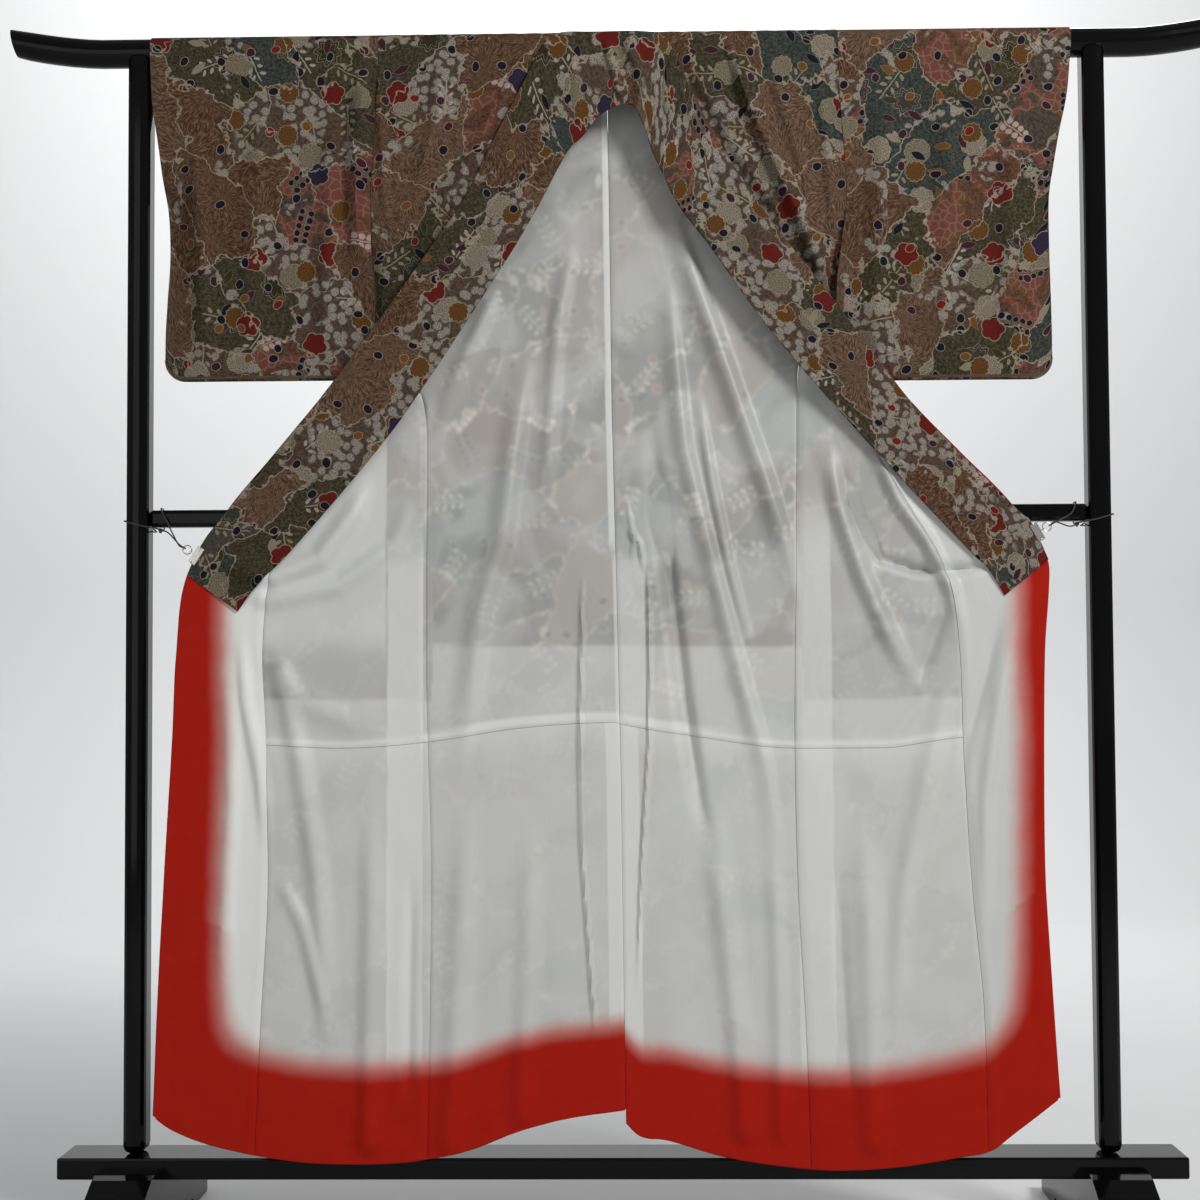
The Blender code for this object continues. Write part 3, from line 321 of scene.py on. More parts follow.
CORD_TO_RING = (
    CordPoint(0.6465, 0.0150, 0.9935),
    CordPoint(0.6350, 0.0195, 0.9905),
)
CORD_FROM_RING = (
    CordPoint(0.6370, 0.0215, 1.0080),
    CordPoint(0.6450, 0.0148, 1.0215),
    CordPoint(0.6468, 0.0095, 1.0254),
    CordPoint(0.6475, -0.0090, 1.0254),
    CordPoint(0.6475, -0.0144, 1.0205),
    CordPoint(0.6475, -0.0144, 1.0020),
    CordPoint(0.6475, -0.0090, 0.9966),
    CordPoint(0.6480, 0.0090, 0.9964),
    CordPoint(0.6500, 0.0180, 0.9960),
    CordPoint(0.6590, 0.0258, 0.9975),
    CordPoint(0.6680, 0.0270, 0.9990),
    CordPoint(0.6800, 0.0268, 1.0020),
    CordPoint(0.6900, 0.0266, 1.0050),
    CordPoint(0.6966, 0.0210, 1.0070),
    CordPoint(0.6972, 0.0100, 1.0080),
    CordPoint(0.6972, -0.0160, 1.0080),
    CordPoint(0.6930, -0.0255, 1.0070),
    CordPoint(0.6800, -0.0268, 1.0030),
    CordPoint(0.6660, -0.0262, 0.9985),
    CordPoint(0.6606, -0.0180, 0.9950),
    CordPoint(0.6600, 0.0000, 0.9928),
    CordPoint(0.6560, 0.0120, 0.9920),
    CordPoint(0.6510, 0.0185, 0.9915),
)

Array = np.ndarray


def ease(share: Array) -> Array:
    """Ease from 0 to 1, flat at both ends.

    Args:
        share: The way from start to end; outside 0 to 1 it is cut off.

    Returns:
        The eased share.
    """
    share = np.clip(share, 0.0, 1.0)
    return share * share * (3.0 - 2.0 * share)


def blend(start: Array, end: Array, share: Array) -> Array:
    """Return the value a share of the way from start to end."""
    return start + (end - start) * share


def run_along(path: Array) -> Array:
    """Return the way along a path from its first point to each of its points."""
    return np.concatenate(([0.0], np.cumsum(np.linalg.norm(np.diff(path, axis=0), axis=1))))


def rounded(keys: Array, steps: int) -> Array:
    """Run a smooth curve through key points.

    Args:
        keys: The key points, or whole rows of measures.
        steps: How many points of the curve come from one key to the next.

    Returns:
        The curve's points; the last one is the last key.
    """
    padded = np.concatenate((keys[:1], keys, keys[-1:]))
    share = np.linspace(0.0, 1.0, steps, endpoint=False)[:, None]
    spans = []
    for first, start, end, last in zip(padded, padded[1:], padded[2:], padded[3:]):
        spans.append(0.5 * (2 * start + (end - first) * share
                            + (2 * first - 5 * start + 4 * end - last) * share ** 2
                            + (3 * start - first - 3 * end + last) * share ** 3))
    return np.concatenate((*spans, keys[-1:]))


def read(table: Sequence[NamedTuple], key: str, column: str, at: Array) -> Array:
    """Read a table's column along a smooth curve that never swings past its rows.

    Args:
        table: The rows.
        key: The name of the column that is followed; it may rise or fall.
        column: The name of the column that is read.
        at: The places along the key.

    Returns:
        The column's value at each place.
    """
    rows = sorted(table, key=lambda row: getattr(row, key))
    places = np.array([getattr(row, key) for row in rows])
    values = np.array([getattr(row, column) for row in rows])
    at = np.clip(np.asarray(at, dtype=float), places[0], places[-1])
    steps = np.diff(places)
    rates = np.diff(values) / steps
    slopes = np.concatenate(([rates[0]], 0.5 * (rates[1:] + rates[:-1]), [rates[-1]]))
    turning = np.concatenate(([False], rates[1:] * rates[:-1] <= 0.0, [False]))
    slopes[turning] = 0.0
    for index, rate in enumerate(rates):
        limit = 3.0 * abs(rate)
        slopes[index] = np.clip(slopes[index], -limit, limit)
        slopes[index + 1] = np.clip(slopes[index + 1], -limit, limit)
    index = np.clip(np.searchsorted(places, at, side="right") - 1, 0, len(steps) - 1)
    share = (at - places[index]) / steps[index]
    step = steps[index]
    return (values[index] * (1 + 2 * share) * (1 - share) ** 2
            + slopes[index] * step * share * (1 - share) ** 2
            + values[index + 1] * share ** 2 * (3 - 2 * share)
            - slopes[index + 1] * step * share ** 2 * (1 - share))


@dataclass(frozen=True)
class Crease:
    """One soft fold of the hanging cloth: a ridge or trough along a path.

    Args:
        path: Places (x, z) that the fold's line goes through, from its start to its end.
        height: How far it stands forward in metres; below zero it is a trough.
        left: Its width to the left of its path, walking from its start.
        right: Its width to the right of its path.
        fade: The shares of its length over which it rises and dies away.
    """

    path: tuple[tuple[float, float], ...]
    height: float
    left: float
    right: float
    fade: tuple[float, float] = (0.35, 0.35)

    def forward(self, x: Array, z: Array) -> Array:
        """Return how far the fold moves the cloth forward at each place.

        Args:
            x: The places across.
            z: The places' heights.

        Returns:
            The forward moves.
        """
        points = np.array(self.path)
        lengths = np.hypot(*np.diff(points, axis=0).T)
        before = np.concatenate(([0.0], np.cumsum(lengths)))
        nearest = np.full(x.shape, 9.0)
        signed = np.full(x.shape, 9.0)
        along = np.zeros(x.shape)
        for index, length in enumerate(lengths):
            start = points[index]
            way = (points[index + 1] - start) / length
            run = (x - start[0]) * way[0] + (z - start[1]) * way[1]
            held = np.clip(run, 0.0, length)
            gap_x = x - start[0] - held * way[0]
            gap_z = z - start[1] - held * way[1]
            gap = np.hypot(gap_x, gap_z)
            side = np.sign(way[0] * gap_z - way[1] * gap_x)
            closer = gap < nearest
            nearest = np.where(closer, gap, nearest)
            signed = np.where(closer, gap * side, signed)
            along = np.where(closer, (before[index] + held) / before[-1], along)
        width = np.where(signed > 0, self.left, self.right)
        share = np.clip(np.abs(signed) / width, 0.0, 1.0)
        across = (1.0 - share) ** 3 * (1.0 + 3.0 * share)
        ends = ease(along / max(self.fade[0], 1e-4)) * ease((1.0 - along) / max(self.fade[1], 1e-4))
        return self.height * across * ends


def raised(creases: Sequence[Crease], x: Array, z: Array) -> Array:
    """Return how far several folds together move the cloth forward at each place."""
    total = np.zeros(x.shape)
    for crease in creases:
        total = total + crease.forward(x, z)
    return total


class Creases:
    """A set of creases with a light unevenness of the cloth between them."""

    def __init__(self, creases: Sequence[Crease], slack: float) -> None:
        """Keep the creases.

        Args:
            creases: The folds.
            slack: The height of the light unevenness between them.
        """
        self.creases = creases
        self.slack = slack

    def forward(self, x: Array, z: Array) -> Array:
        """Return how far the cloth is moved forward at each place, by x and height."""
        waver = (np.sin(x * 41.0 + 3.1 * np.sin(z * 5.3)) * np.sin(z * 9.7 + 2.0 * np.sin(x * 17.0))
                 + 0.6 * np.sin(x * 83.0 - z * 13.0 + 2.4 * np.sin(z * 19.0))
                 + 0.4 * np.sin(z * 57.0 + 3.0 * np.sin(x * 23.0 + 1.0)))
        return raised(self.creases, x, z) + self.slack * waver


@dataclass
class Grid:
    """Rows and columns of points on a cloth, with its outer side, its map and its dye.

    Args:
        points: The points, rows by columns by three.
        outward: Roughly where the cloth's outer side looks, which settles the sign of its normals.
        weave: The cloth's own map in metres, across and along.
        keep: Which points belong to the cloth.
        values: Named numbers for each point that the finish reads.
    """

    points: Array
    outward: Array
    weave: Array
    keep: Array | None = None
    values: dict[str, Array] = field(default_factory=dict)

    def normals(self) -> Array:
        """Return the cloth's unit normals, turned to its outer side."""
        down = np.gradient(self.points, axis=0)
        across = np.gradient(self.points, axis=1)
        normal = np.cross(across, down)
        normal /= np.maximum(np.linalg.norm(normal, axis=2, keepdims=True), 1e-12)
        sign = np.sign((normal * self.outward).sum(axis=2, keepdims=True))
        return normal * np.where(sign == 0, 1.0, sign)


def dress(mesh: bpy.types.Mesh, name: str, finish: bpy.types.Material) -> bpy.types.Object:
    """Make an object of a mesh at the origin, with its finish."""
    mesh.materials.clear()
    mesh.materials.append(finish)
    piece = bpy.data.objects.new(name, mesh)
    bpy.context.scene.collection.objects.link(piece)
    return piece


def shell(name: str, grid: Grid, near: Array, far: Array, finish: bpy.types.Material,
          closed_rows: bool = False) -> bpy.types.Object:
    """Make a closed thin shell on a grid of cloth.

    Args:
        name: The piece's name.
        grid: The cloth.
        near: The way of its inner face along the normals, one number or one for each point.
        far: The way of its outer face along the normals, one number or one for each point.
        finish: Its material.
        closed_rows: Whether the last row is joined to the first.

    Returns:
        The piece.
    """
    shape = grid.points.shape[:2]
    normals = grid.normals()
    if closed_rows:
        wrapped = np.concatenate((grid.points[-2:-1], grid.points, grid.points[1:2]))
        outward = np.concatenate((grid.outward[-2:-1], grid.outward, grid.outward[1:2]))
        normals = Grid(wrapped, outward, wrapped).normals()[1:-1]
        normals[-1] = normals[0]
    near = np.broadcast_to(np.asarray(near, dtype=float), shape)[..., None]
    far = np.broadcast_to(np.asarray(far, dtype=float), shape)[..., None]
    kept = np.ones(shape, bool) if grid.keep is None else grid.keep.copy()
    if closed_rows:
        kept[-1] = False
    number = np.full(shape, -1)
    number[kept] = np.arange(kept.sum())
    if closed_rows:
        number[-1] = number[0]
    places = np.concatenate(((grid.points + normals * far)[kept], (grid.points + normals * near)[kept]))
    faces = np.array(closed_faces(number, places, normals))
    used = np.zeros(len(places), bool)
    used[faces.ravel()] = True
    renumber = np.cumsum(used) - 1
    mesh = bpy.data.meshes.new(name)
    mesh.from_pydata(places[used].tolist(), [], renumber[faces].tolist())
    layer = mesh.uv_layers.new(name="weave")
    weave = np.concatenate((grid.weave[kept], grid.weave[kept]))[used]
    corner_vertex = np.empty(len(mesh.loops), dtype=np.int32)
    mesh.loops.foreach_get("vertex_index", corner_vertex)
    layer.data.foreach_set("uv", weave[corner_vertex].astype(np.float32).ravel())
    for word, value in grid.values.items():
        attribute = mesh.attributes.new(word, "FLOAT", "POINT")
        both = np.concatenate((value[kept], value[kept]))[used]
        attribute.data.foreach_set("value", both.astype(np.float32))
    mesh.shade_smooth()
    mesh.set_sharp_from_angle(angle=math.radians(55))
    mesh.validate()
    mesh.update()
    return dress(mesh, name, finish)


def closed_faces(number: Array, places: Array, normals: Array) -> list[list[int]]:
    """Join a shell's points to its outer face, its inner face and the rim between them.

    Args:
        number: The outer point's number at each place of the grid, below zero where there is none.
        places: The outer points, then the inner points in the same order.
        normals: The cloth's normals on the grid.

    Returns:
        The corners of each face.
    """
    count = len(places) // 2
    corners = np.stack((number[:-1, :-1], number[1:, :-1], number[1:, 1:], number[:-1, 1:]), axis=-1)
    whole = (corners >= 0).all(axis=-1)
    quads = corners[whole]
    first = quads[0]
    turn = np.cross(places[first[1]] - places[first[0]], places[first[3]] - places[first[0]])
    if np.dot(turn, normals[tuple(np.argwhere(whole)[0])]) < 0:
        quads = quads[:, ::-1]
    sides = [quads[:, [corner, (corner + 1) % 4]] for corner in range(4)]
    edges = dict.fromkeys(map(tuple, np.concatenate(sides).tolist()))
    rims = [(end, start) for start, end in edges if (end, start) not in edges]
    faces = quads.tolist() + (quads[:, ::-1] + count).tolist()
    return faces + [[start, end, end + count, start + count] for start, end in rims]


def tube(name: str, path: Array, radius: float, finish: bpy.types.Material, sides: int,
         closed: bool = False) -> bpy.types.Object:
    """Make a round tube along a path, with a map that runs along it and round it.

    Args:
        name: The piece's name.
        path: The points that the tube follows.
        radius: Its radius.
        finish: Its material.
        sides: How many sides it has.
        closed: Whether its last point is joined to its first.

    Returns:
        The piece.
    """
    path = np.asarray(path, dtype=float)
    count = len(path)
    bm = bmesh.new()
    layer = bm.loops.layers.uv.new("weave")
    lengths = run_along(path)
    rings = []
    for middle, (first, second) in zip(path, frames_along(path, closed)):
        angles = (2 * math.pi * step / sides for step in range(sides))
        rings.append([bm.verts.new(middle + radius * (first * math.cos(angle) + second * math.sin(angle)))
                      for angle in angles])
    girth = 2 * math.pi * radius
    for index in range(count if closed else count - 1):
        after = (index + 1) % count
        shift = 0
        if after == 0:
            gaps = [(rings[0][step].co - rings[index][0].co).length for step in range(sides)]
            shift = int(np.argmin(gaps))
        long_start = lengths[index]
        long_end = lengths[after] if after else long_start + 0.002
        for step in range(sides):
            beside = (step + 1) % sides
            face = bm.faces.new((rings[index][step], rings[index][beside],
                                 rings[after][(beside + shift) % sides],
                                 rings[after][(step + shift) % sides]))
            face.smooth = True
            spots = ((step, long_start), (step + 1, long_start), (step + 1, long_end), (step, long_end))
            for loop, (turn, run) in zip(face.loops, spots):
                loop[layer].uv = (girth * turn / sides, run)
    if not closed:
        bm.faces.new(list(reversed(rings[0])))
        bm.faces.new(rings[-1])
    bmesh.ops.recalc_face_normals(bm, faces=bm.faces)
    mesh = bpy.data.meshes.new(name)
    bm.to_mesh(mesh)
    bm.free()
    return dress(mesh, name, finish)


def frames_along(path: Array, closed: bool) -> list[tuple[Array, Array]]:
    """Return two directions across a path at each of its points, which turn with it and never spin."""
    if closed:
        way = np.roll(path, -1, axis=0) - np.roll(path, 1, axis=0)
    else:
        way = np.gradient(path, axis=0)
    way /= np.linalg.norm(way, axis=1, keepdims=True)
    up = np.cross(way[0], (0.31, 0.52, 0.79))
    frames = []
    for ahead in way:
        up = up - ahead * np.dot(up, ahead)
        up /= np.linalg.norm(up)
        frames.append((up.copy(), np.cross(ahead, up)))
    return frames


def through(keys: Sequence[Sequence[float]], spacing: float) -> Array:
    """Run a smooth curve through key points and return points on it at an even spacing."""
    line = rounded(np.asarray(keys, dtype=float), 24)
    run = run_along(line)
    places = np.linspace(0.0, run[-1], max(int(round(run[-1] / spacing)), 2) + 1)
    return np.stack([np.interp(places, run, line[:, axis]) for axis in range(line.shape[1])], axis=1)


def settle(piece: bpy.types.Object, slot: str, *nodes: str) -> bpy.types.Object:
    """Let a piece ride on the rack's one body and stand for solids, which are hidden."""
    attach(piece, "root")
    if nodes:
        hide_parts(*nodes)
    LOG.info("%s: %d faces", piece.name, len(piece.data.polygons) if piece.type == "MESH" else 0)
    return piece


Colour = tuple[float, float, float]
Socket = bpy.types.NodeSocket


class Loom:
    """A short way to write a material's nodes."""

    def __init__(self, name: str) -> None:
        """Start a material with its shader and output."""
        self.material = bpy.data.materials.new(name)
        self.material.use_nodes = True
        self.tree = self.material.node_tree
        self.tree.nodes.clear()
        self.shader = self.tree.nodes.new("ShaderNodeBsdfPrincipled")
        output = self.tree.nodes.new("ShaderNodeOutputMaterial")
        self.tree.links.new(self.shader.outputs[0], output.inputs[0])

    def link(self, value: object, socket: Socket) -> None:
        """Set a socket to a number or colour, or link it to another socket."""
        if isinstance(value, bpy.types.NodeSocket):
            self.tree.links.new(value, socket)
        elif isinstance(value, (tuple, list)) and len(value) == 3 and socket.type == "RGBA":
            socket.default_value = (*value, 1.0)
        else:
            socket.default_value = value

    def node(self, kind: str, inputs: dict[object, object] | None = None,
             **settings: object) -> bpy.types.Node:
        """Add a node.

        Args:
            kind: Its type without the word ShaderNode.
            inputs: Values or sockets by input name or number.
            settings: The node's own settings.

        Returns:
            The node.
        """
        node = self.tree.nodes.new("ShaderNode" + kind)
        for word, value in settings.items():
            setattr(node, word, value)
        for word, value in (inputs or {}).items():
            self.link(value, node.inputs[word])
        return node

    def math(self, operation: str, first: object, second: object = 0.0, third: object = 0.0) -> Socket:
        """Add a Math node and return its result."""
        return self.node("Math", {0: first, 1: second, 2: third}, operation=operation).outputs[0]

    def times(self, first: object, second: object, plus: object = None) -> Socket:
        """Return a product, with a third number added to it if one is given."""
        if plus is None:
            return self.math("MULTIPLY", first, second)
        return self.math("MULTIPLY_ADD", first, second, plus)

    def minus(self, first: object, second: object) -> Socket:
        """Return a difference."""
        return self.math("SUBTRACT", first, second)

    def above(self, value: object, limit: float) -> Socket:
        """Return 1 where a number is above a limit, 0 elsewhere."""
        return self.math("GREATER_THAN", value, limit)

    def below(self, value: object, limit: float) -> Socket:
        """Return 1 where a number is below a limit, 0 elsewhere."""
        return self.math("LESS_THAN", value, limit)

    def vector(self, operation: str, first: object, second: object) -> Socket:
        """Add a Vector Math node and return its vector."""
        node = self.node("VectorMath", {0: first}, operation=operation)
        self.link(second, node.inputs["Scale" if operation == "SCALE" else 1])
        return node.outputs["Vector"]

    def pair(self, first: object, second: object) -> Socket:
        """Return a flat vector made of two numbers."""
        return self.node("CombineXYZ", {0: first, 1: second}).outputs[0]

    def spun(self, place: Socket, angle: object) -> Socket:
        """Turn a flat place round the origin."""
        return self.node("VectorRotate", {"Vector": place, "Angle": angle}, rotation_type="Z_AXIS").outputs[0]

    def shade(self, word: str, value: object) -> None:
        """Set one of the shader's inputs, or link it to a socket."""
        self.link(value, self.shader.inputs[word])

    def mix(self, share: object, first: object, second: object, way: str = "MIX") -> Socket:
        """Mix two colours."""
        node = self.node("Mix", data_type="RGBA", blend_type=way)
        self.link(share, node.inputs["Factor"])
        self.link(first, node.inputs[6])
        self.link(second, node.inputs[7])
        return node.outputs[2]

    def noise(self, place: object, scale: float, detail: float = 2.0, rough: float = 0.5,
              bend: float = 0.0, solid: bool = False) -> bpy.types.Node:
        """Add a noise texture, flat on a cloth's map or solid in space."""
        dimensions = "3D" if solid else "2D"
        return self.node("TexNoise", {"Vector": place, "Scale": scale, "Detail": detail, "Roughness": rough,
                                      "Distortion": bend}, noise_dimensions=dimensions)

    def cells(self, place: object, scale: float, feature: str = "F1", spread: float = 1.0) -> bpy.types.Node:
        """Add a flat Voronoi texture."""
        return self.node("TexVoronoi", {"Vector": place, "Scale": scale, "Randomness": spread},
                         voronoi_dimensions="2D", feature=feature)

    def step(self, value: object, low: float, high: float) -> Socket:
        """Return 0 below low and 1 above high, eased between; low may be above high."""
        node = self.node("MapRange", {"Value": value, "From Min": low, "From Max": high},
                         interpolation_type="SMOOTHSTEP")
        return node.outputs["Result"]

    def chosen(self, value: object, picks: Sequence[tuple[float, Colour]]) -> Socket:
        """Return one of several colours by a number, with hard steps between them."""
        node = self.node("ValToRGB", {"Fac": value})
        ramp = node.color_ramp
        ramp.interpolation = "CONSTANT"
        ramp.elements[0].position = picks[0][0]
        ramp.elements[0].color = (*picks[0][1], 1.0)
        ramp.elements[1].position = picks[1][0]
        ramp.elements[1].color = (*picks[1][1], 1.0)
        for position, colour in picks[2:]:
            ramp.elements.new(position).color = (*colour, 1.0)
        return node.outputs["Color"]

    def parts(self, vector: Socket) -> tuple[Socket, Socket, Socket]:
        """Split a vector or colour into its three numbers."""
        node = self.node("SeparateXYZ", {0: vector})
        return node.outputs[0], node.outputs[1], node.outputs[2]

    def weave(self) -> Socket:
        """Return the cloth's own map in metres."""
        return self.node("UVMap", uv_map="weave").outputs["UV"]

    def value(self, word: str) -> Socket:
        """Return one of the piece's named numbers."""
        return self.node("Attribute", attribute_name=word).outputs["Fac"]

    def place(self) -> Socket:
        """Return the place on the object in metres."""
        return self.node("TexCoord").outputs["Object"]

    def bump(self, height: object, strength: float, distance: float) -> None:
        """Let a height stand out on the surface, over any bump that is there already."""
        shade = self.node("Bump", {"Height": height, "Strength": strength, "Distance": distance})
        normal = self.shader.inputs["Normal"]
        if normal.is_linked:
            self.tree.links.new(normal.links[0].from_socket, shade.inputs["Normal"])
        self.tree.links.new(shade.outputs["Normal"], normal)

    def threads(self, across: float, along: float) -> Socket:
        """Return the height of a plain weave with threads of the given spacings in metres."""
        u, v, _ = self.parts(self.weave())
        warp = self.math("SINE", self.times(u, 2 * math.pi / across))
        weft = self.math("SINE", self.times(v, 2 * math.pi / along))
        return self.times(warp, weft)


class Form(Enum):
    """The outlines that a motif of the komon pattern can have."""

    OVAL = "oval"
    FLOWER = "flower"
    LEAF = "leaf"
    STAR = "star"
    SPRAY = "spray"


@dataclass(frozen=True)
class Motif:
    """A scattered motif of the komon pattern, one in some of the places of a loose net.

    Args:
        form: The motif's outline.
        spacing: The net's spacing in metres.
        radius: The motif's reach in metres.
        often: The share of the net's places that hold one.
        lobes: How many petals, points or pairs of berries it has.
        depth: How deep its petals are cut, as a share of the radius.
        slim: How much longer than wide it is.
        fills: Its colours, each from a share of the places on.
        rim: The width of the cream line round it in metres.
        seed: Where the net begins.
        zones: The lowest and the highest zone number that it grows in.
    """

    form: Form
    spacing: float
    radius: float
    often: float
    lobes: int
    depth: float
    slim: float
    fills: tuple[tuple[float, Colour], ...]
    rim: float
    seed: float
    zones: tuple[float, float]


CREAM = (0.30, 0.25, 0.185)
BLOSSOM = (0.235, 0.198, 0.132)
WHITE = (0.33, 0.295, 0.245)
MUSTARD = (0.150, 0.062, 0.012)
RED = (0.155, 0.010, 0.007)
ROSE = (0.175, 0.048, 0.040)
SHELL = (0.40, 0.285, 0.245)
NAVY = (0.0055, 0.0060, 0.0150)
PLUM = (0.042, 0.0095, 0.020)
VIOLET = (0.026, 0.019, 0.050)
BROWN = (0.098, 0.046, 0.022)
CLAY = (0.125, 0.069, 0.040)
RUST = (0.110, 0.038, 0.020)
OLIVE = (0.036, 0.031, 0.012)
TEAL = (0.020, 0.036, 0.034)
SLATE = (0.053, 0.049, 0.040)
# A very dark brown: the dye of petal strokes and mottling, and the painted shade in the hollows of the silk's
# grain
DARK_DYE_AND_PAINTED_SHADE = (0.012, 0.008, 0.006)
BARK = (0.078, 0.044, 0.028)
PALE_HAIRLINE = (0.235, 0.155, 0.105)
DARK_HAIRLINE = (0.026, 0.013, 0.008)
FLECK = (0.100, 0.092, 0.066)
PETAL_SHADE = (0.12, 0.11, 0.10)
PEONY = (0.135, 0.062, 0.020)
VEIN = (0.20, 0.13, 0.085)
BERRY_GROUND = (0.060, 0.040, 0.030)

# The zones are numbered from 0 to 1: bare brown, dark with leaves, white blossom, rust with berries
BARE_TOP = 0.33
DARK_TOP = 0.68
BLOSSOM_TOP = 0.87

BARE_FILLS = ((0.0, BROWN), (0.55, CLAY))
DARK_FILLS = ((0.0, OLIVE), (0.55, TEAL), (0.72, SLATE), (0.86, OLIVE))
BERRY_FILLS = ((0.0, RUST), (0.5, BERRY_GROUND))
LEAF_FILLS = ((0.0, NAVY), (0.30, OLIVE), (0.48, MUSTARD), (0.64, PLUM), (0.84, BLOSSOM))
OVAL_FILLS = ((0.0, NAVY), (0.42, PLUM), (0.60, RED), (0.74, NAVY), (0.90, MUSTARD))

MOTIFS = (
    Motif(Form.STAR, 0.078, 0.0205, 0.55, 8, 0.30, 1.0, ((0.0, OLIVE), (0.5, SLATE)), 0.0009, 31.7,
          (BARE_TOP, DARK_TOP)),
    Motif(Form.SPRAY, 0.070, 0.0240, 0.60, 4, 0.30, 1.5, ((0.0, BLOSSOM), (0.6, WHITE)), 0.0004, 17.9,
          (BARE_TOP, BLOSSOM_TOP)),
    Motif(Form.FLOWER, 0.080, 0.0175, 0.62, 9, 0.05, 1.0, ((0.0, BLOSSOM), (0.6, CREAM)), 0.0006, 21.9,
          (BARE_TOP, BLOSSOM_TOP)),
    Motif(Form.LEAF, 0.036, 0.0120, 0.60, 0, 0.0, 2.4, LEAF_FILLS, 0.0009, 3.1, (BARE_TOP, DARK_TOP)),
    Motif(Form.SPRAY, 0.074, 0.0250, 0.85, 5, 0.40, 1.0, ((0.0, SHELL), (0.62, NAVY)), 0.0005, 41.3,
          (BLOSSOM_TOP, 1.1)),
    Motif(Form.FLOWER, 0.082, 0.0135, 0.55, 12, 0.07, 1.0, ((0.0, MUSTARD), (0.62, BLOSSOM), (0.78, MUSTARD)),
          0.0010, 9.3, (BARE_TOP, 1.1)),
    Motif(Form.FLOWER, 0.100, 0.0150, 0.62, 5, 0.12, 1.0, ((0.0, RED), (0.55, VIOLET), (0.72, RED)),
          0.0012, 12.3, (BARE_TOP, 1.1)),
    Motif(Form.OVAL, 0.041, 0.0064, 0.52, 0, 0.0, 1.22, OVAL_FILLS, 0.0010, 7.7, (0.0, 1.1)),
)
# Those that still show through the lining
GHOST_MOTIFS = (MOTIFS[1], MOTIFS[3], MOTIFS[4], MOTIFS[7])


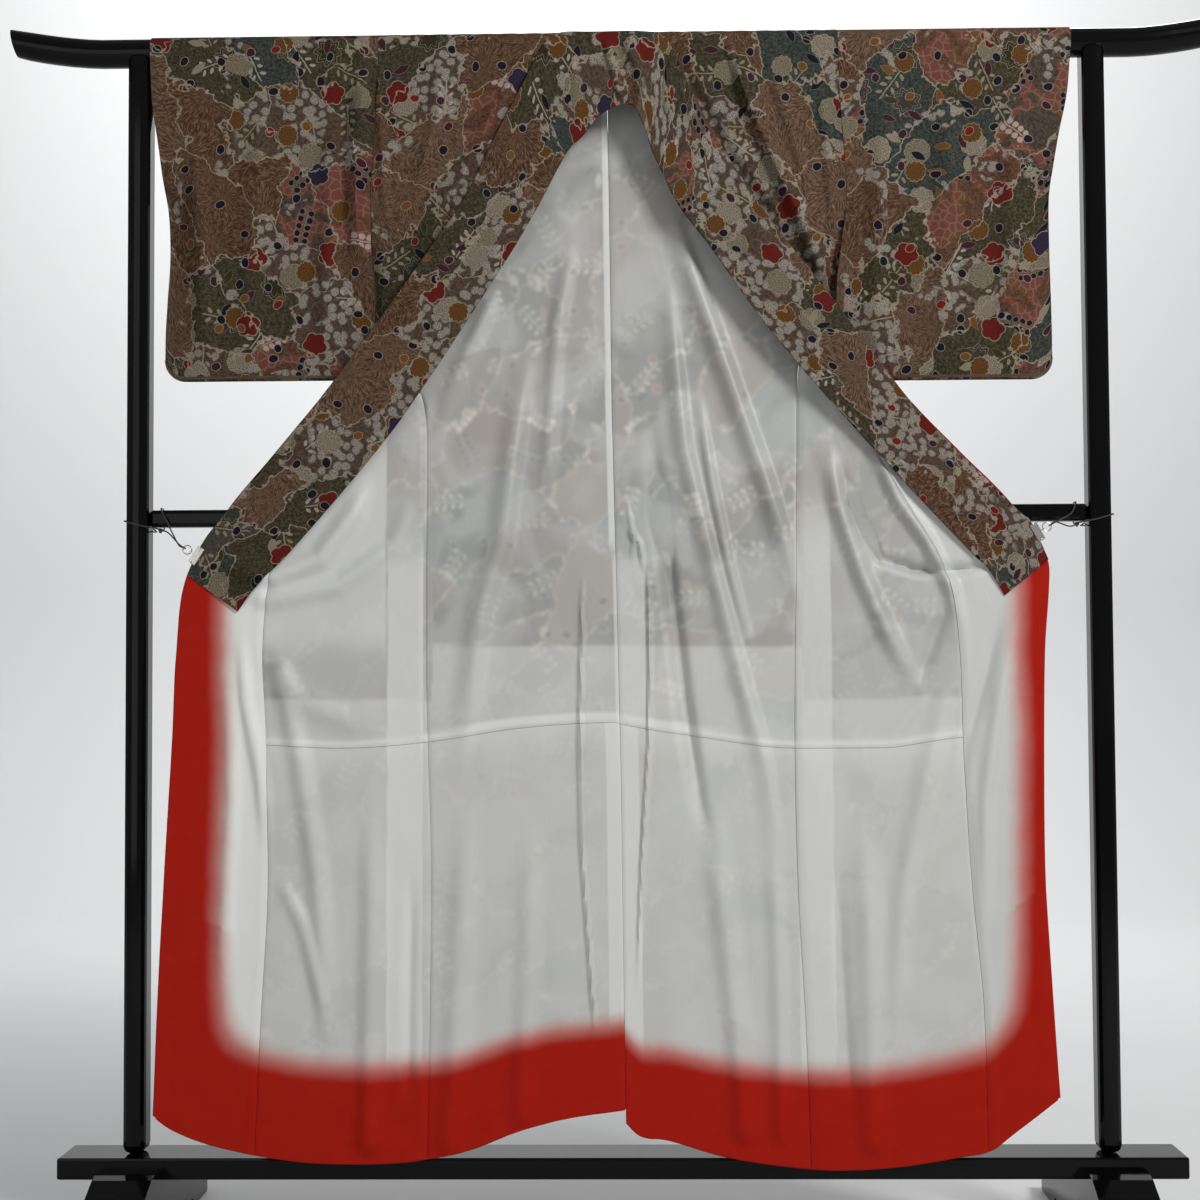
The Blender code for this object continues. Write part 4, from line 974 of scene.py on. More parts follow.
@dataclass(frozen=True)
class KomonPattern:
    """The all-over pattern of cloud zones, blossoms, berries and leaves, on a cloth's own map.

    Args:
        cloud: The size of a cloud zone in metres.
        line: The width of the pale line between zones in metres.
        burst: The size of a burst of hairlines in metres.
        petal: The size of a white petal in metres.
        vein: The size of a field between a peony's veins in metres.
        stem: Half of a spray's stem in metres.
        soft: Half of the way over which a motif's edge goes from full to none, in metres.
        motifs: The motifs that grow on it.
        fine: Whether it has hairlines, petals and veins, which don't show through a lining.
    """

    cloud: float = 0.098
    line: float = 0.0017
    burst: float = 0.062
    petal: float = 0.0135
    vein: float = 0.0115
    stem: float = 0.0005
    soft: float = 0.0002
    motifs: tuple[Motif, ...] = MOTIFS
    fine: bool = True

    def gap(self, loom: Loom, motif: Motif, away: Socket) -> Socket:
        """Return the way from a motif's outline, below zero inside it.

        Args:
            loom: The material's nodes.
            motif: The motif.
            away: The place counted from the motif's middle, turned with it.

        Returns:
            The distance in metres, roughly.
        """
        x, y, _ = loom.parts(away)
        if motif.form is Form.LEAF:
            belly = loom.times(loom.math("ABSOLUTE", y), motif.slim)
            return loom.minus(loom.times(loom.times(x, x), 1 / motif.radius, belly), motif.radius)
        if motif.form is Form.SPRAY:
            return self.spray_gap(loom, motif, x, y)
        reach = self.length(loom, x, loom.times(y, motif.slim))
        if motif.form is Form.OVAL:
            return loom.minus(reach, motif.radius)
        bearing = loom.math("ARCTAN2", y, x)
        if motif.form is Form.STAR:
            lobe = loom.math("PINGPONG", loom.times(bearing, motif.lobes / (2 * math.pi)), 0.5)
        else:
            lobe = loom.math("ABSOLUTE", loom.math("SINE", loom.times(bearing, motif.lobes / 2)))
        edge = loom.times(lobe, 2 * motif.radius * motif.depth, motif.radius * (1 - motif.depth))
        return loom.minus(reach, edge)

    def spray_gap(self, loom: Loom, motif: Motif, x: Socket, y: Socket) -> Socket:
        """Return the way from a straight stem with pairs of berries or leaflets."""
        pitch = 2 * motif.radius / motif.lobes
        out = loom.math("ABSOLUTE", y)
        swept = loom.times(out, 1.0 - motif.slim, x)
        along = loom.times(loom.math("PINGPONG", swept, pitch / 2), motif.slim)
        berry = loom.minus(self.length(loom, along, loom.minus(out, pitch * 0.62)), pitch * motif.depth)
        stem = loom.minus(out, self.stem)
        beyond = loom.minus(loom.math("ABSOLUTE", x), motif.radius)
        return loom.math("MAXIMUM", loom.math("MINIMUM", berry, stem), beyond)

    def length(self, loom: Loom, first: object, second: object) -> Socket:
        """Return the length of a flat vector."""
        return loom.math("SQRT", loom.times(first, first, loom.times(second, second)))

    def grow(self, loom: Loom, ground: Socket, place: Socket, zone: Socket, frill: Socket,
             motif: Motif) -> Socket:
        """Dye one kind of motif over the ground.

        Args:
            loom: The material's nodes.
            ground: The colour so far.
            place: The cloth's map, slightly wavering.
            zone: The number of the zone at each place.
            frill: Fine noise that roughens the outline.
            motif: The motif.

        Returns:
            The colour with the motif.
        """
        moved = loom.vector("ADD", place, (motif.seed, motif.seed * 0.7, 0.0))
        net = loom.cells(moved, 1.0 / motif.spacing, spread=0.78)
        chance, tint, turn = loom.parts(net.outputs["Color"])
        spun = loom.spun(loom.vector("SUBTRACT", moved, net.outputs["Position"]), loom.times(turn, 6.2832))
        gap = loom.times(loom.minus(frill, 0.5), 0.0009, self.gap(loom, motif, spun))
        in_zone = loom.times(loom.above(zone, motif.zones[0]), loom.below(zone, motif.zones[1]))
        drawn = loom.times(loom.below(chance, motif.often), in_zone)
        soft = self.soft
        inside = loom.times(loom.step(gap, soft, -soft), drawn)
        rim = loom.times(loom.step(gap, motif.rim + soft, motif.rim - soft), drawn)
        fill = loom.chosen(tint, motif.fills)
        if motif.form in {Form.FLOWER, Form.STAR}:
            fill = loom.mix(self.petal_strokes(loom, spun, turn), fill, DARK_DYE_AND_PAINTED_SHADE)
        if motif.form is Form.STAR:
            inner = loom.minus(loom.math("ABSOLUTE", loom.math("ADD", gap, 0.0042)), 0.00045)
            fill = loom.mix(loom.times(loom.step(inner, soft, -soft), 0.6), fill, CREAM)
        colour = loom.mix(loom.times(rim, 0.85), ground, CREAM)
        return loom.mix(inside, colour, fill)

    def petal_strokes(self, loom: Loom, spun: Socket, turn: Socket) -> Socket:
        """Return the short dark strokes that run out from a blossom's middle, from 0 to 1."""
        x, y, _ = loom.parts(spun)
        bearing = loom.math("ARCTAN2", y, x)
        reach = self.length(loom, x, y)
        spot = loom.pair(loom.times(bearing, 5.0), loom.times(reach, 330.0, turn))
        return loom.times(loom.step(loom.noise(spot, 1.6, 1.0, 0.6).outputs[0], 0.62, 0.36), 0.62)

    def hairlines(self, loom: Loom, place: Socket) -> Socket:
        """Return fine strokes that run out from scattered middles, from 0 to 1."""
        cell = loom.cells(place, 1.0 / self.burst, spread=1.0)
        x, y, _ = loom.parts(loom.vector("SUBTRACT", place, cell.outputs["Position"]))
        bearing = loom.math("ARCTAN2", y, x)
        reach = self.length(loom, x, y)
        _, _, pick = loom.parts(cell.outputs["Color"])
        turned = loom.times(reach, 22.0, loom.times(bearing, 9.5))
        spot = loom.pair(turned, loom.times(pick, 40.0, loom.times(reach, 55.0)))
        return loom.noise(spot, 1.7, 2.0, 0.65, 0.3).outputs[0]

    def colour(self, loom: Loom, weave: Socket) -> Socket:
        """Return the pattern's colour at a place of the cloth's map."""
        waver = loom.vector("SUBTRACT", loom.noise(weave, 24.0, 3.0, 0.6).outputs["Color"], (0.5, 0.5, 0.5))
        flow = loom.vector("MULTIPLY", loom.spun(weave, 0.62), (1.35, 0.78, 1.0))
        bent = loom.vector("ADD", flow, loom.vector("SCALE", waver, 0.066))
        slightly = loom.vector("ADD", weave, loom.vector("SCALE", waver, 0.007))
        frill = loom.noise(weave, 520.0, 2.0, 0.7).outputs[0]

        zone, shade, tint = loom.parts(loom.cells(bent, 1.0 / self.cloud).outputs["Color"])
        border = loom.cells(bent, 1.0 / self.cloud, "DISTANCE_TO_EDGE").outputs["Distance"]
        bare, dark = (loom.chosen(shade, fills) for fills in (BARE_FILLS, DARK_FILLS))
        ground = loom.mix(loom.above(zone, BARE_TOP), bare, dark)
        ground = loom.mix(loom.above(zone, DARK_TOP), ground, BARK)
        ground = loom.mix(loom.above(zone, BLOSSOM_TOP), ground, loom.chosen(tint, BERRY_FILLS))

        if self.fine:
            ground = self.strokes(loom, ground, weave, slightly, zone)
            ground = self.details(loom, ground, weave, slightly, zone, frill)
        for motif in self.motifs:
            ground = self.grow(loom, ground, slightly, zone, frill, motif)
        width = self.line / self.cloud
        contour = loom.times(loom.step(border, width * 1.15, width * 0.55), loom.step(frill, 0.22, 0.36))
        return loom.mix(loom.times(contour, 0.88), ground, CREAM)

    def strokes(self, loom: Loom, ground: Socket, weave: Socket, slightly: Socket, zone: Socket) -> Socket:
        """Return the ground with its pale and dark hairlines and its mottling."""
        strokes = self.hairlines(loom, slightly)
        plain = loom.below(zone, BARE_TOP)
        light = loom.times(loom.step(strokes, 0.50, 0.62), loom.times(plain, 0.38, 0.14))
        deep = loom.times(loom.step(strokes, 0.50, 0.40), loom.times(plain, 0.30, 0.34))
        ground = loom.mix(light, ground, PALE_HAIRLINE)
        ground = loom.mix(deep, ground, DARK_HAIRLINE)
        mottle = loom.noise(weave, 240.0, 2.0, 0.7, 0.5).outputs[0]
        fleck = loom.times(loom.step(mottle, 0.50, 0.60), loom.times(plain, -0.42, 0.50))
        ground = loom.mix(fleck, ground, FLECK)
        return loom.mix(loom.times(loom.step(mottle, 0.44, 0.36), 0.40), ground, DARK_DYE_AND_PAINTED_SHADE)

    def details(self, loom: Loom, ground: Socket, weave: Socket, slightly: Socket, zone: Socket,
                frill: Socket) -> Socket:
        """Return the ground with its clusters of white petals and its veined peonies."""
        petals = loom.cells(slightly, 1.0 / self.petal, "F1", 0.9)
        torn = loom.times(loom.minus(frill, 0.5), 0.42, petals.outputs["Distance"])
        field = loom.noise(loom.vector("ADD", weave, (5.2, 1.3, 0.0)), 17.0, 1.5, 0.5, 0.4).outputs[0]
        in_white = loom.times(loom.above(zone, DARK_TOP), loom.below(zone, BLOSSOM_TOP))
        clustered = loom.math("MAXIMUM", loom.times(in_white, loom.step(field, 0.38, 0.44)),
                              loom.step(field, 0.64, 0.67))
        petal = loom.times(loom.step(torn, 0.50, 0.38), clustered)
        white = loom.mix(loom.step(frill, 0.36, 0.56), PETAL_SHADE, WHITE)
        ground = loom.mix(loom.times(petal, 0.92), ground, white)

        aside = loom.vector("ADD", slightly, (2.2, 0.9, 0.0))
        peony = loom.cells(aside, 1.0 / self.vein, "DISTANCE_TO_EDGE", 1.0)
        vein = loom.step(peony.outputs["Distance"], 0.03, 0.13)
        rose = loom.mix(vein, VEIN, loom.mix(loom.step(field, 0.40, 0.44), PEONY, ROSE))
        in_rust = loom.times(loom.above(zone, BLOSSOM_TOP),
                             loom.times(loom.step(field, 0.36, 0.40), loom.step(field, 0.56, 0.52)))
        return loom.mix(loom.times(in_rust, 0.85), ground, rose)


@dataclass(frozen=True)
class KomonSilk:
    """Brown crepe silk with the komon pattern dyed on it, with painted shade in the hollows of its grain."""

    name: str = "komon_silk_dyed"
    pattern: KomonPattern = KomonPattern()

    def make(self) -> bpy.types.Material:
        """Return the material."""
        loom = Loom(self.name)
        weave = loom.weave()
        ground = self.pattern.colour(loom, weave)
        grain = loom.noise(loom.vector("MULTIPLY", weave, (1.0, 0.45, 1.0)), 1500.0, 2.0, 0.65).outputs[0]
        # Painted shade: the colour darkens where the crepe's grain sinks, in the hollows that its bump makes
        speck = loom.step(grain, 0.36, 0.60)
        ground = loom.mix(loom.times(speck, -0.50, 0.50), ground, DARK_DYE_AND_PAINTED_SHADE)
        loom.shade("Base Color", ground)
        loom.shade("Roughness", 0.78)
        loom.shade("Specular IOR Level", 0.08)
        loom.bump(grain, 0.30, 0.0005)
        loom.bump(loom.threads(0.0011, 0.0009), 0.10, 0.0003)
        return loom.material


@dataclass(frozen=True)
class LiningSilk:
    """Thin white silk, dyed red towards the hem, through which the pattern behind it just shows.

    Args:
        name: The material's name.
        white: The silk where seam allowances back it, and where painted light whitens it.
        thin: The silk where it lies on the dark outer cloth alone.
        red: The dye.
        cloudy: The dye where it took more lightly.
        pink: What the dye's pale edge is mixed with.
        grey: What the pattern behind is mixed with.
        ghost: How strongly the pattern shows through at most.
    """

    name: str
    white: Colour = (0.72, 0.725, 0.685)
    thin: Colour = (0.455, 0.460, 0.440)
    red: Colour = (0.330, 0.0085, 0.0035)
    cloudy: Colour = (0.370, 0.0125, 0.0050)
    pink: Colour = (0.66, 0.36, 0.31)
    grey: Colour = (0.11, 0.11, 0.105)
    ghost: float = 0.85

    def make(self) -> bpy.types.Material:
        """Return the material."""
        loom = Loom(self.name)
        weave = loom.weave()
        blots = loom.noise(loom.vector("ADD", weave, (1.7, 0.6, 0.0)), 9.0, 2.0, 0.5, 0.5).outputs[0]
        haze = loom.vector("SUBTRACT", loom.noise(weave, 2400.0, 0.0, 0.5).outputs["Color"], (0.5, 0.5, 0.5))
        hazy = loom.vector("ADD", weave, loom.vector("SCALE", haze, 0.013))
        behind = KomonPattern(motifs=GHOST_MOTIFS, fine=False).colour(loom, hazy)
        soft = loom.mix(0.24, behind, self.grey)
        veil = loom.value("veil")
        patch = loom.times(loom.step(blots, 0.40, 0.60), 0.65, 0.35)
        seen = loom.times(loom.times(patch, veil), self.ghost)
        shade = loom.node("RGBToBW", {0: soft}).outputs[0]
        pale = loom.times(loom.math("POWER", shade, 0.6), 1.75, 0.42)
        tone = loom.node("CombineXYZ", {axis: pale for axis in range(3)}).outputs[0]
        tinge = loom.mix(0.26, tone, loom.vector("SCALE", soft, 7.0))
        thin = loom.mix(seen, (1.0, 1.0, 1.0), tinge)
        thin = loom.mix(1.0, self.thin, thin, "MULTIPLY")
        # Doubled seam allowances whiten the silk; the same value also carries painted light on the left front
        # and left okumi, and painted shade where the left side seam's strip stops
        cloth = loom.mix(loom.value("double"), thin, self.white)
        dye = loom.value("dye")
        cloud = loom.noise(weave, 30.0, 3.0, 0.6).outputs[0]
        dye = loom.math("ADD", dye, loom.times(cloud, 0.08, -0.04))
        deep = loom.mix(cloud, self.red, self.cloudy)
        soaked = loom.mix(loom.step(dye, 0.04, 0.56), cloth, loom.mix(0.55, deep, self.pink))
        soaked = loom.mix(loom.step(dye, 0.30, 0.84), soaked, deep)
        loom.shade("Base Color", soaked)
        loom.shade("Roughness", 0.46)
        loom.shade("Specular IOR Level", loom.times(loom.step(dye, 0.2, 0.8), -0.49, 0.55))
        loom.bump(loom.threads(0.0007, 0.0006), 0.10, 0.0002)
        creased = loom.noise(loom.vector("MULTIPLY", weave, (1.0, 0.40, 1.0)), 26.0, 3.0, 0.5, 0.8).outputs[0]
        loom.bump(creased, 0.35, 0.0022)
        return loom.material


@dataclass(frozen=True)
class Lacquer:
    """Black lacquer over wood, polished, with faint dust and hand marks."""

    name: str = "black_lacquer_polished"
    black: Colour = (0.0022, 0.0021, 0.0024)
    dusty: Colour = (0.020, 0.019, 0.018)

    def make(self) -> bpy.types.Material:
        """Return the material."""
        loom = Loom(self.name)
        place = loom.place()
        cloud = loom.noise(place, 9.0, 3.0, 0.6, solid=True).outputs[0]
        dust = loom.noise(place, 240.0, 2.0, 0.6, solid=True).outputs[0]
        share = loom.times(loom.step(dust, 0.62, 0.80), 0.10)
        loom.shade("Base Color", loom.mix(share, self.black, self.dusty))
        loom.shade("Roughness", loom.times(loom.step(cloud, 0.35, 0.75), 0.05, 0.07))
        loom.shade("Specular IOR Level", 0.16)
        waves = loom.noise(loom.vector("MULTIPLY", place, (1.0, 1.0, 0.25)), 60.0, 2.0, solid=True).outputs[0]
        loom.bump(waves, 0.05, 0.0008)
        return loom.material


@dataclass(frozen=True)
class ClipMetal:
    """Bright plated spring steel with fine brushing and worn places."""

    name: str
    colour: Colour
    worn: Colour = (0.34, 0.31, 0.25)
    roughness: float = 0.26

    def make(self) -> bpy.types.Material:
        """Return the material."""
        loom = Loom(self.name)
        place = loom.place()
        wear = loom.noise(place, 420.0, 3.0, 0.6, solid=True).outputs[0]
        drawn_out = loom.vector("MULTIPLY", place, (1.0, 1.0, 0.1))
        brushed = loom.noise(drawn_out, 5200.0, 2.0, solid=True).outputs[0]
        loom.shade("Base Color", loom.mix(loom.step(wear, 0.5, 0.75), self.colour, self.worn))
        loom.shade("Roughness", loom.times(wear, 0.18, self.roughness - 0.06))
        loom.shade("Metallic", 1.0)
        loom.bump(brushed, 0.08, 0.0002)
        return loom.material


@dataclass(frozen=True)
class Thread:
    """Twisted or braided thread; its strands run slantwise round it, with a painted highlight on their
    crowns.

    Args:
        name: The material's name.
        colour: Its colour.
        strand: The way along it that one strand takes, in metres.
    """

    name: str
    colour: Colour
    strand: float

    def make(self) -> bpy.types.Material:
        """Return the material."""
        loom = Loom(self.name)
        u, v, _ = loom.parts(loom.weave())
        along, round_it = (loom.times(way, 2 * math.pi / self.strand) for way in (v, u))
        slants = (loom.math("ADD", along, round_it), loom.minus(along, round_it))
        height = loom.math("MAXIMUM", *(loom.math("SINE", slant) for slant in slants))
        fibre = loom.noise(loom.weave(), 3600.0, 2.0).outputs[0]
        # Painted highlight: the raised crowns of the strands are painted lighter, as if lit
        light = tuple(min(1.0, part * 1.8 + 0.01) for part in self.colour)
        lit = loom.times(loom.step(height, 0.2, 1.0), fibre)
        loom.shade("Base Color", loom.mix(lit, self.colour, light))
        loom.shade("Roughness", 0.72)
        loom.shade("Sheen Weight", 0.2)
        loom.bump(height, 0.5, 0.0003)
        return loom.material


@dataclass(frozen=True)
class StudioPaper:
    """Plain pale paper for the floor and the wall behind."""

    name: str = "studio_paper"
    tone: float = 0.72

    def make(self) -> bpy.types.Material:
        """Return the material."""
        loom = Loom(self.name)
        speck = loom.noise(loom.place(), 3.0, 2.0, solid=True).outputs[0]
        dim = (self.tone * 0.98, self.tone * 0.98, self.tone * 0.985)
        loom.shade("Base Color", loom.mix(speck, (self.tone, self.tone, self.tone), dim))
        loom.shade("Roughness", 0.9)
        return loom.material


LINING_CREASES = Creases((
    Crease(((-0.121, 1.276), (-0.139, 1.144), (-0.160, 0.976), (-0.189, 0.878), (-0.206, 0.751),
            (-0.227, 0.612)), 0.0130, 0.024, 0.040, (0.25, 0.35)),
    Crease(((-0.057, 1.442), (-0.084, 1.276), (-0.096, 1.104),
            (-0.108, 0.948)), 0.0065, 0.022, 0.022, (0.3, 0.4)),
    Crease(((-0.160, 1.356), (-0.207, 1.248), (-0.261, 1.128)), 0.0078, 0.018, 0.022, (0.3, 0.4)),
    Crease(((0.076, 1.462), (0.107, 1.368), (0.141, 1.268), (0.206, 1.074), (0.238, 0.966),
            (0.256, 0.861)), 0.0155, 0.020, 0.034, (0.2, 0.3)),
    Crease(((0.070, 1.390), (0.079, 1.294), (0.097, 1.108), (0.134, 0.946), (0.172, 0.791),
            (0.205, 0.666), (0.231, 0.472)), 0.0110, 0.018, 0.030, (0.25, 0.35)),
    Crease(((0.114, 1.202), (0.135, 1.059), (0.158, 0.942),
            (0.194, 0.793)), 0.0078, 0.012, 0.014, (0.3, 0.4)),
    Crease(((0.048, 1.174), (0.064, 1.003), (0.079, 0.891), (0.094, 0.751), (0.114, 0.611),
            (0.148, 0.473)), -0.0150, 0.020, 0.026, (0.3, 0.4)),
    Crease(((-0.047, 0.933), (-0.049, 0.835), (-0.052, 0.695), (-0.050, 0.548), (-0.040, 0.405),
            (-0.031, 0.275)), 0.0059, 0.0045, 0.008, (0.1, 0.1)),
    Crease(((0.043, 0.947), (0.045, 0.809), (0.044, 0.694), (0.033, 0.528),
            (0.025, 0.336)), 0.0052, 0.007, 0.0045, (0.1, 0.2)),
    Crease(((-0.568, 0.942), (-0.480, 0.925), (-0.417, 0.950), (-0.372, 1.012),
            (-0.345, 1.077)), 0.0140, 0.032, 0.028, (0.2, 0.3)),
    Crease(((-0.545, 0.915), (-0.488, 0.894), (-0.390, 0.914), (-0.312, 0.970),
            (-0.284, 1.063)), 0.0095, 0.026, 0.028, (0.2, 0.35)),
    Crease(((-0.505, 0.837), (-0.445, 0.753), (-0.375, 0.724),
            (-0.305, 0.766)), 0.0078, 0.035, 0.04, (0.3, 0.4)),
    Crease(((-0.491, 0.865), (-0.444, 0.669), (-0.418, 0.502),
            (-0.400, 0.269)), 0.0091, 0.028, 0.03, (0.3, 0.3)),
    Crease(((-0.484, 0.530), (-0.439, 0.444), (-0.413, 0.347),
            (-0.400, 0.255)), 0.0065, 0.018, 0.022, (0.3, 0.4)),
    Crease(((0.551, 0.943), (0.467, 0.927), (0.418, 0.931), (0.368, 0.947), (0.337, 1.007),
            (0.313, 1.089)), -0.0117, 0.014, 0.016, (0.25, 0.25)),
    Crease(((0.296, 1.123), (0.312, 1.022), (0.344, 0.923), (0.383, 0.832),
            (0.429, 0.748)), 0.0143, 0.022, 0.026, (0.25, 0.35)),
    Crease(((0.361, 1.107), (0.395, 1.029), (0.434, 0.972), (0.466, 0.906),
            (0.482, 0.831)), 0.012, 0.018, 0.020, (0.2, 0.3)),
    Crease(((0.415, 0.762), (0.444, 0.832), (0.466, 0.887)), -0.0078, 0.024, 0.02, (0.3, 0.3)),
    Crease(((0.479, 0.831), (0.434, 0.665), (0.397, 0.499),
            (0.372, 0.267)), 0.0078, 0.03, 0.03, (0.3, 0.3)),
    Crease(((0.542, 0.887), (0.512, 0.775), (0.487, 0.692),
            (0.477, 0.609)), -0.0065, 0.016, 0.018, (0.3, 0.4)),
    Crease(((0.561, 0.887), (0.533, 0.761), (0.509, 0.609),
            (0.505, 0.403)), 0.0078, 0.018, 0.022, (0.3, 0.3)),
    Crease(((-0.530, 0.866), (-0.521, 0.753), (-0.498, 0.641),
            (-0.488, 0.530)), 0.0078, 0.02, 0.018, (0.3, 0.3)),
    Crease(((-0.547, 0.838), (-0.539, 0.614), (-0.551, 0.338)), 0.0065, 0.02, 0.02, (0.3, 0.2)),
    Crease(((-0.206, 0.668), (-0.217, 0.474), (-0.231, 0.201),
            (-0.239, 0.119)), 0.0078, 0.035, 0.035, (0.4, 0.05)),
    Crease(((-0.123, 0.612), (-0.126, 0.405), (-0.137, 0.160)), 0.0065, 0.03, 0.03, (0.4, 0.05)),
    Crease(((0.115, 0.666), (0.143, 0.473), (0.166, 0.254),
            (0.172, 0.132)), 0.0091, 0.035, 0.03, (0.4, 0.05)),
    Crease(((0.211, 0.610), (0.220, 0.404), (0.223, 0.132)), 0.0065, 0.02, 0.024, (0.4, 0.05)),
    Crease(((-0.346, 0.668), (-0.343, 0.474), (-0.347, 0.119)), 0.0091, 0.035, 0.03, (0.4, 0.05)),
    Crease(((0.337, 0.637), (0.345, 0.431), (0.346, 0.119)), 0.0091, 0.035, 0.035, (0.4, 0.05)),
    Crease(((-0.287, 0.529), (-0.290, 0.392), (-0.292, 0.201)), -0.0052, 0.018, 0.018, (0.3, 0.1)),
    Crease(((0.305, 0.527), (0.308, 0.390), (0.317, 0.200)), -0.0052, 0.018, 0.018, (0.3, 0.1)),
    Crease(((-0.192, 1.251), (-0.079, 1.253), (0.035, 1.243), (0.120, 1.231),
            (0.204, 1.213)), 0.0016, 0.004, 0.004, (0.1, 0.1)),
    Crease(((-0.515, 0.763), (-0.445, 0.767), (-0.382, 0.758)), 0.0013, 0.004, 0.004, (0.1, 0.1)),
    Crease(((0.008, 1.003), (0.033, 0.968), (0.040, 0.925)), 0.0046, 0.007, 0.006, (0.3, 0.3)),
    Crease(((0.014, 1.032), (0.025, 0.975), (0.019, 0.940)), 0.0039, 0.005, 0.006, (0.3, 0.3)),
    Crease(((0.062, 1.074), (0.050, 1.032), (0.033, 1.015)), 0.0026, 0.005, 0.006, (0.3, 0.3)),
), 0.00045)

UPPER_CREASES = Creases((
    Crease(((0.169, 1.654), (0.186, 1.607), (0.223, 1.513), (0.262, 1.424), (0.307, 1.318),
            (0.331, 1.248)), 0.015, 0.04, 0.009, (0.06, 0.1)),
    Crease(((0.222, 1.656), (0.249, 1.556), (0.279, 1.455),
            (0.298, 1.367)), 0.006, 0.02, 0.016, (0.2, 0.3)),
    Crease(((0.292, 1.627), (0.302, 1.512), (0.310, 1.384)), 0.004, 0.014, 0.012, (0.2, 0.3)),
    Crease(((-0.122, 1.658), (-0.151, 1.606), (-0.205, 1.510), (-0.262, 1.404),
            (-0.305, 1.332)), 0.008, 0.01, 0.03, (0.08, 0.2)),
    Crease(((-0.247, 1.662), (-0.259, 1.561), (-0.291, 1.432)), 0.005, 0.018, 0.018, (0.2, 0.3)),
    Crease(((-0.336, 1.663), (-0.330, 1.548), (-0.322, 1.404)), 0.004, 0.012, 0.014, (0.2, 0.3)),
), 0.00045)

SLEEVE_CREASES = Creases((
    Crease(((-0.357, 1.650), (-0.366, 1.530), (-0.366, 1.340)), 0.0200, 0.016, 0.022, (0.2, 0.4)),
    Crease(((-0.400, 1.650), (-0.405, 1.480), (-0.415, 1.220)), 0.0080, 0.030, 0.026, (0.3, 0.2)),
    Crease(((-0.500, 1.655), (-0.515, 1.420), (-0.520, 1.220)), 0.0060, 0.034, 0.030, (0.3, 0.2)),
    Crease(((-0.600, 1.600), (-0.590, 1.420), (-0.585, 1.230)), 0.0065, 0.024, 0.030, (0.3, 0.2)),
    Crease(((0.385, 1.650), (0.375, 1.480), (0.368, 1.220)), 0.0085, 0.026, 0.032, (0.3, 0.2)),
    Crease(((0.470, 1.655), (0.468, 1.440), (0.462, 1.220)), 0.0065, 0.030, 0.030, (0.3, 0.2)),
    Crease(((0.570, 1.620), (0.556, 1.420), (0.552, 1.230)), 0.0070, 0.028, 0.024, (0.3, 0.2)),
), 0.0005)

# The seam between lining and hem lining, by x
WAIST_SEAM = (
    Level(-0.620, 0.694), Level(-0.493, 0.690), Level(-0.388, 0.685), Level(-0.265, 0.693),
    Level(-0.136, 0.712), Level(-0.004, 0.720), Level(0.006, 0.717), Level(0.115, 0.698),
    Level(0.251, 0.682), Level(0.365, 0.682), Level(0.469, 0.695), Level(0.600, 0.700),
)


def hem_height(side: Side, out: Array) -> Array:
    """Return the hem's height at distances out from the middle."""
    return read(HEM[side], "out", "height", out)


def on_hem(side: Side, out: Array, height: Array) -> Array:
    """Move a height by the hem's curve, fully at the hem and less above."""
    share = np.clip((HEM_BLEND_TOP - height) / (HEM_BLEND_TOP - HEM_LEVEL), 0.0, 1.0)
    return height + (hem_height(side, out) - HEM_LEVEL) * share


def straight(table: Sequence[NamedTuple], height: Array) -> Array:
    """Read the second column of a table by height, in straight pieces between its rows."""
    heights, values = zip(*sorted(table))
    return np.interp(height, heights, values)


def back_forward(height: Array) -> Array:
    """Return how far forward the back hangs at a height."""
    return straight(BACK_HANG, height)


def centre_x(height: Array) -> Array:
    """Return where the centre back seam runs at a height."""
    return straight(CENTRE_SEAM, height)


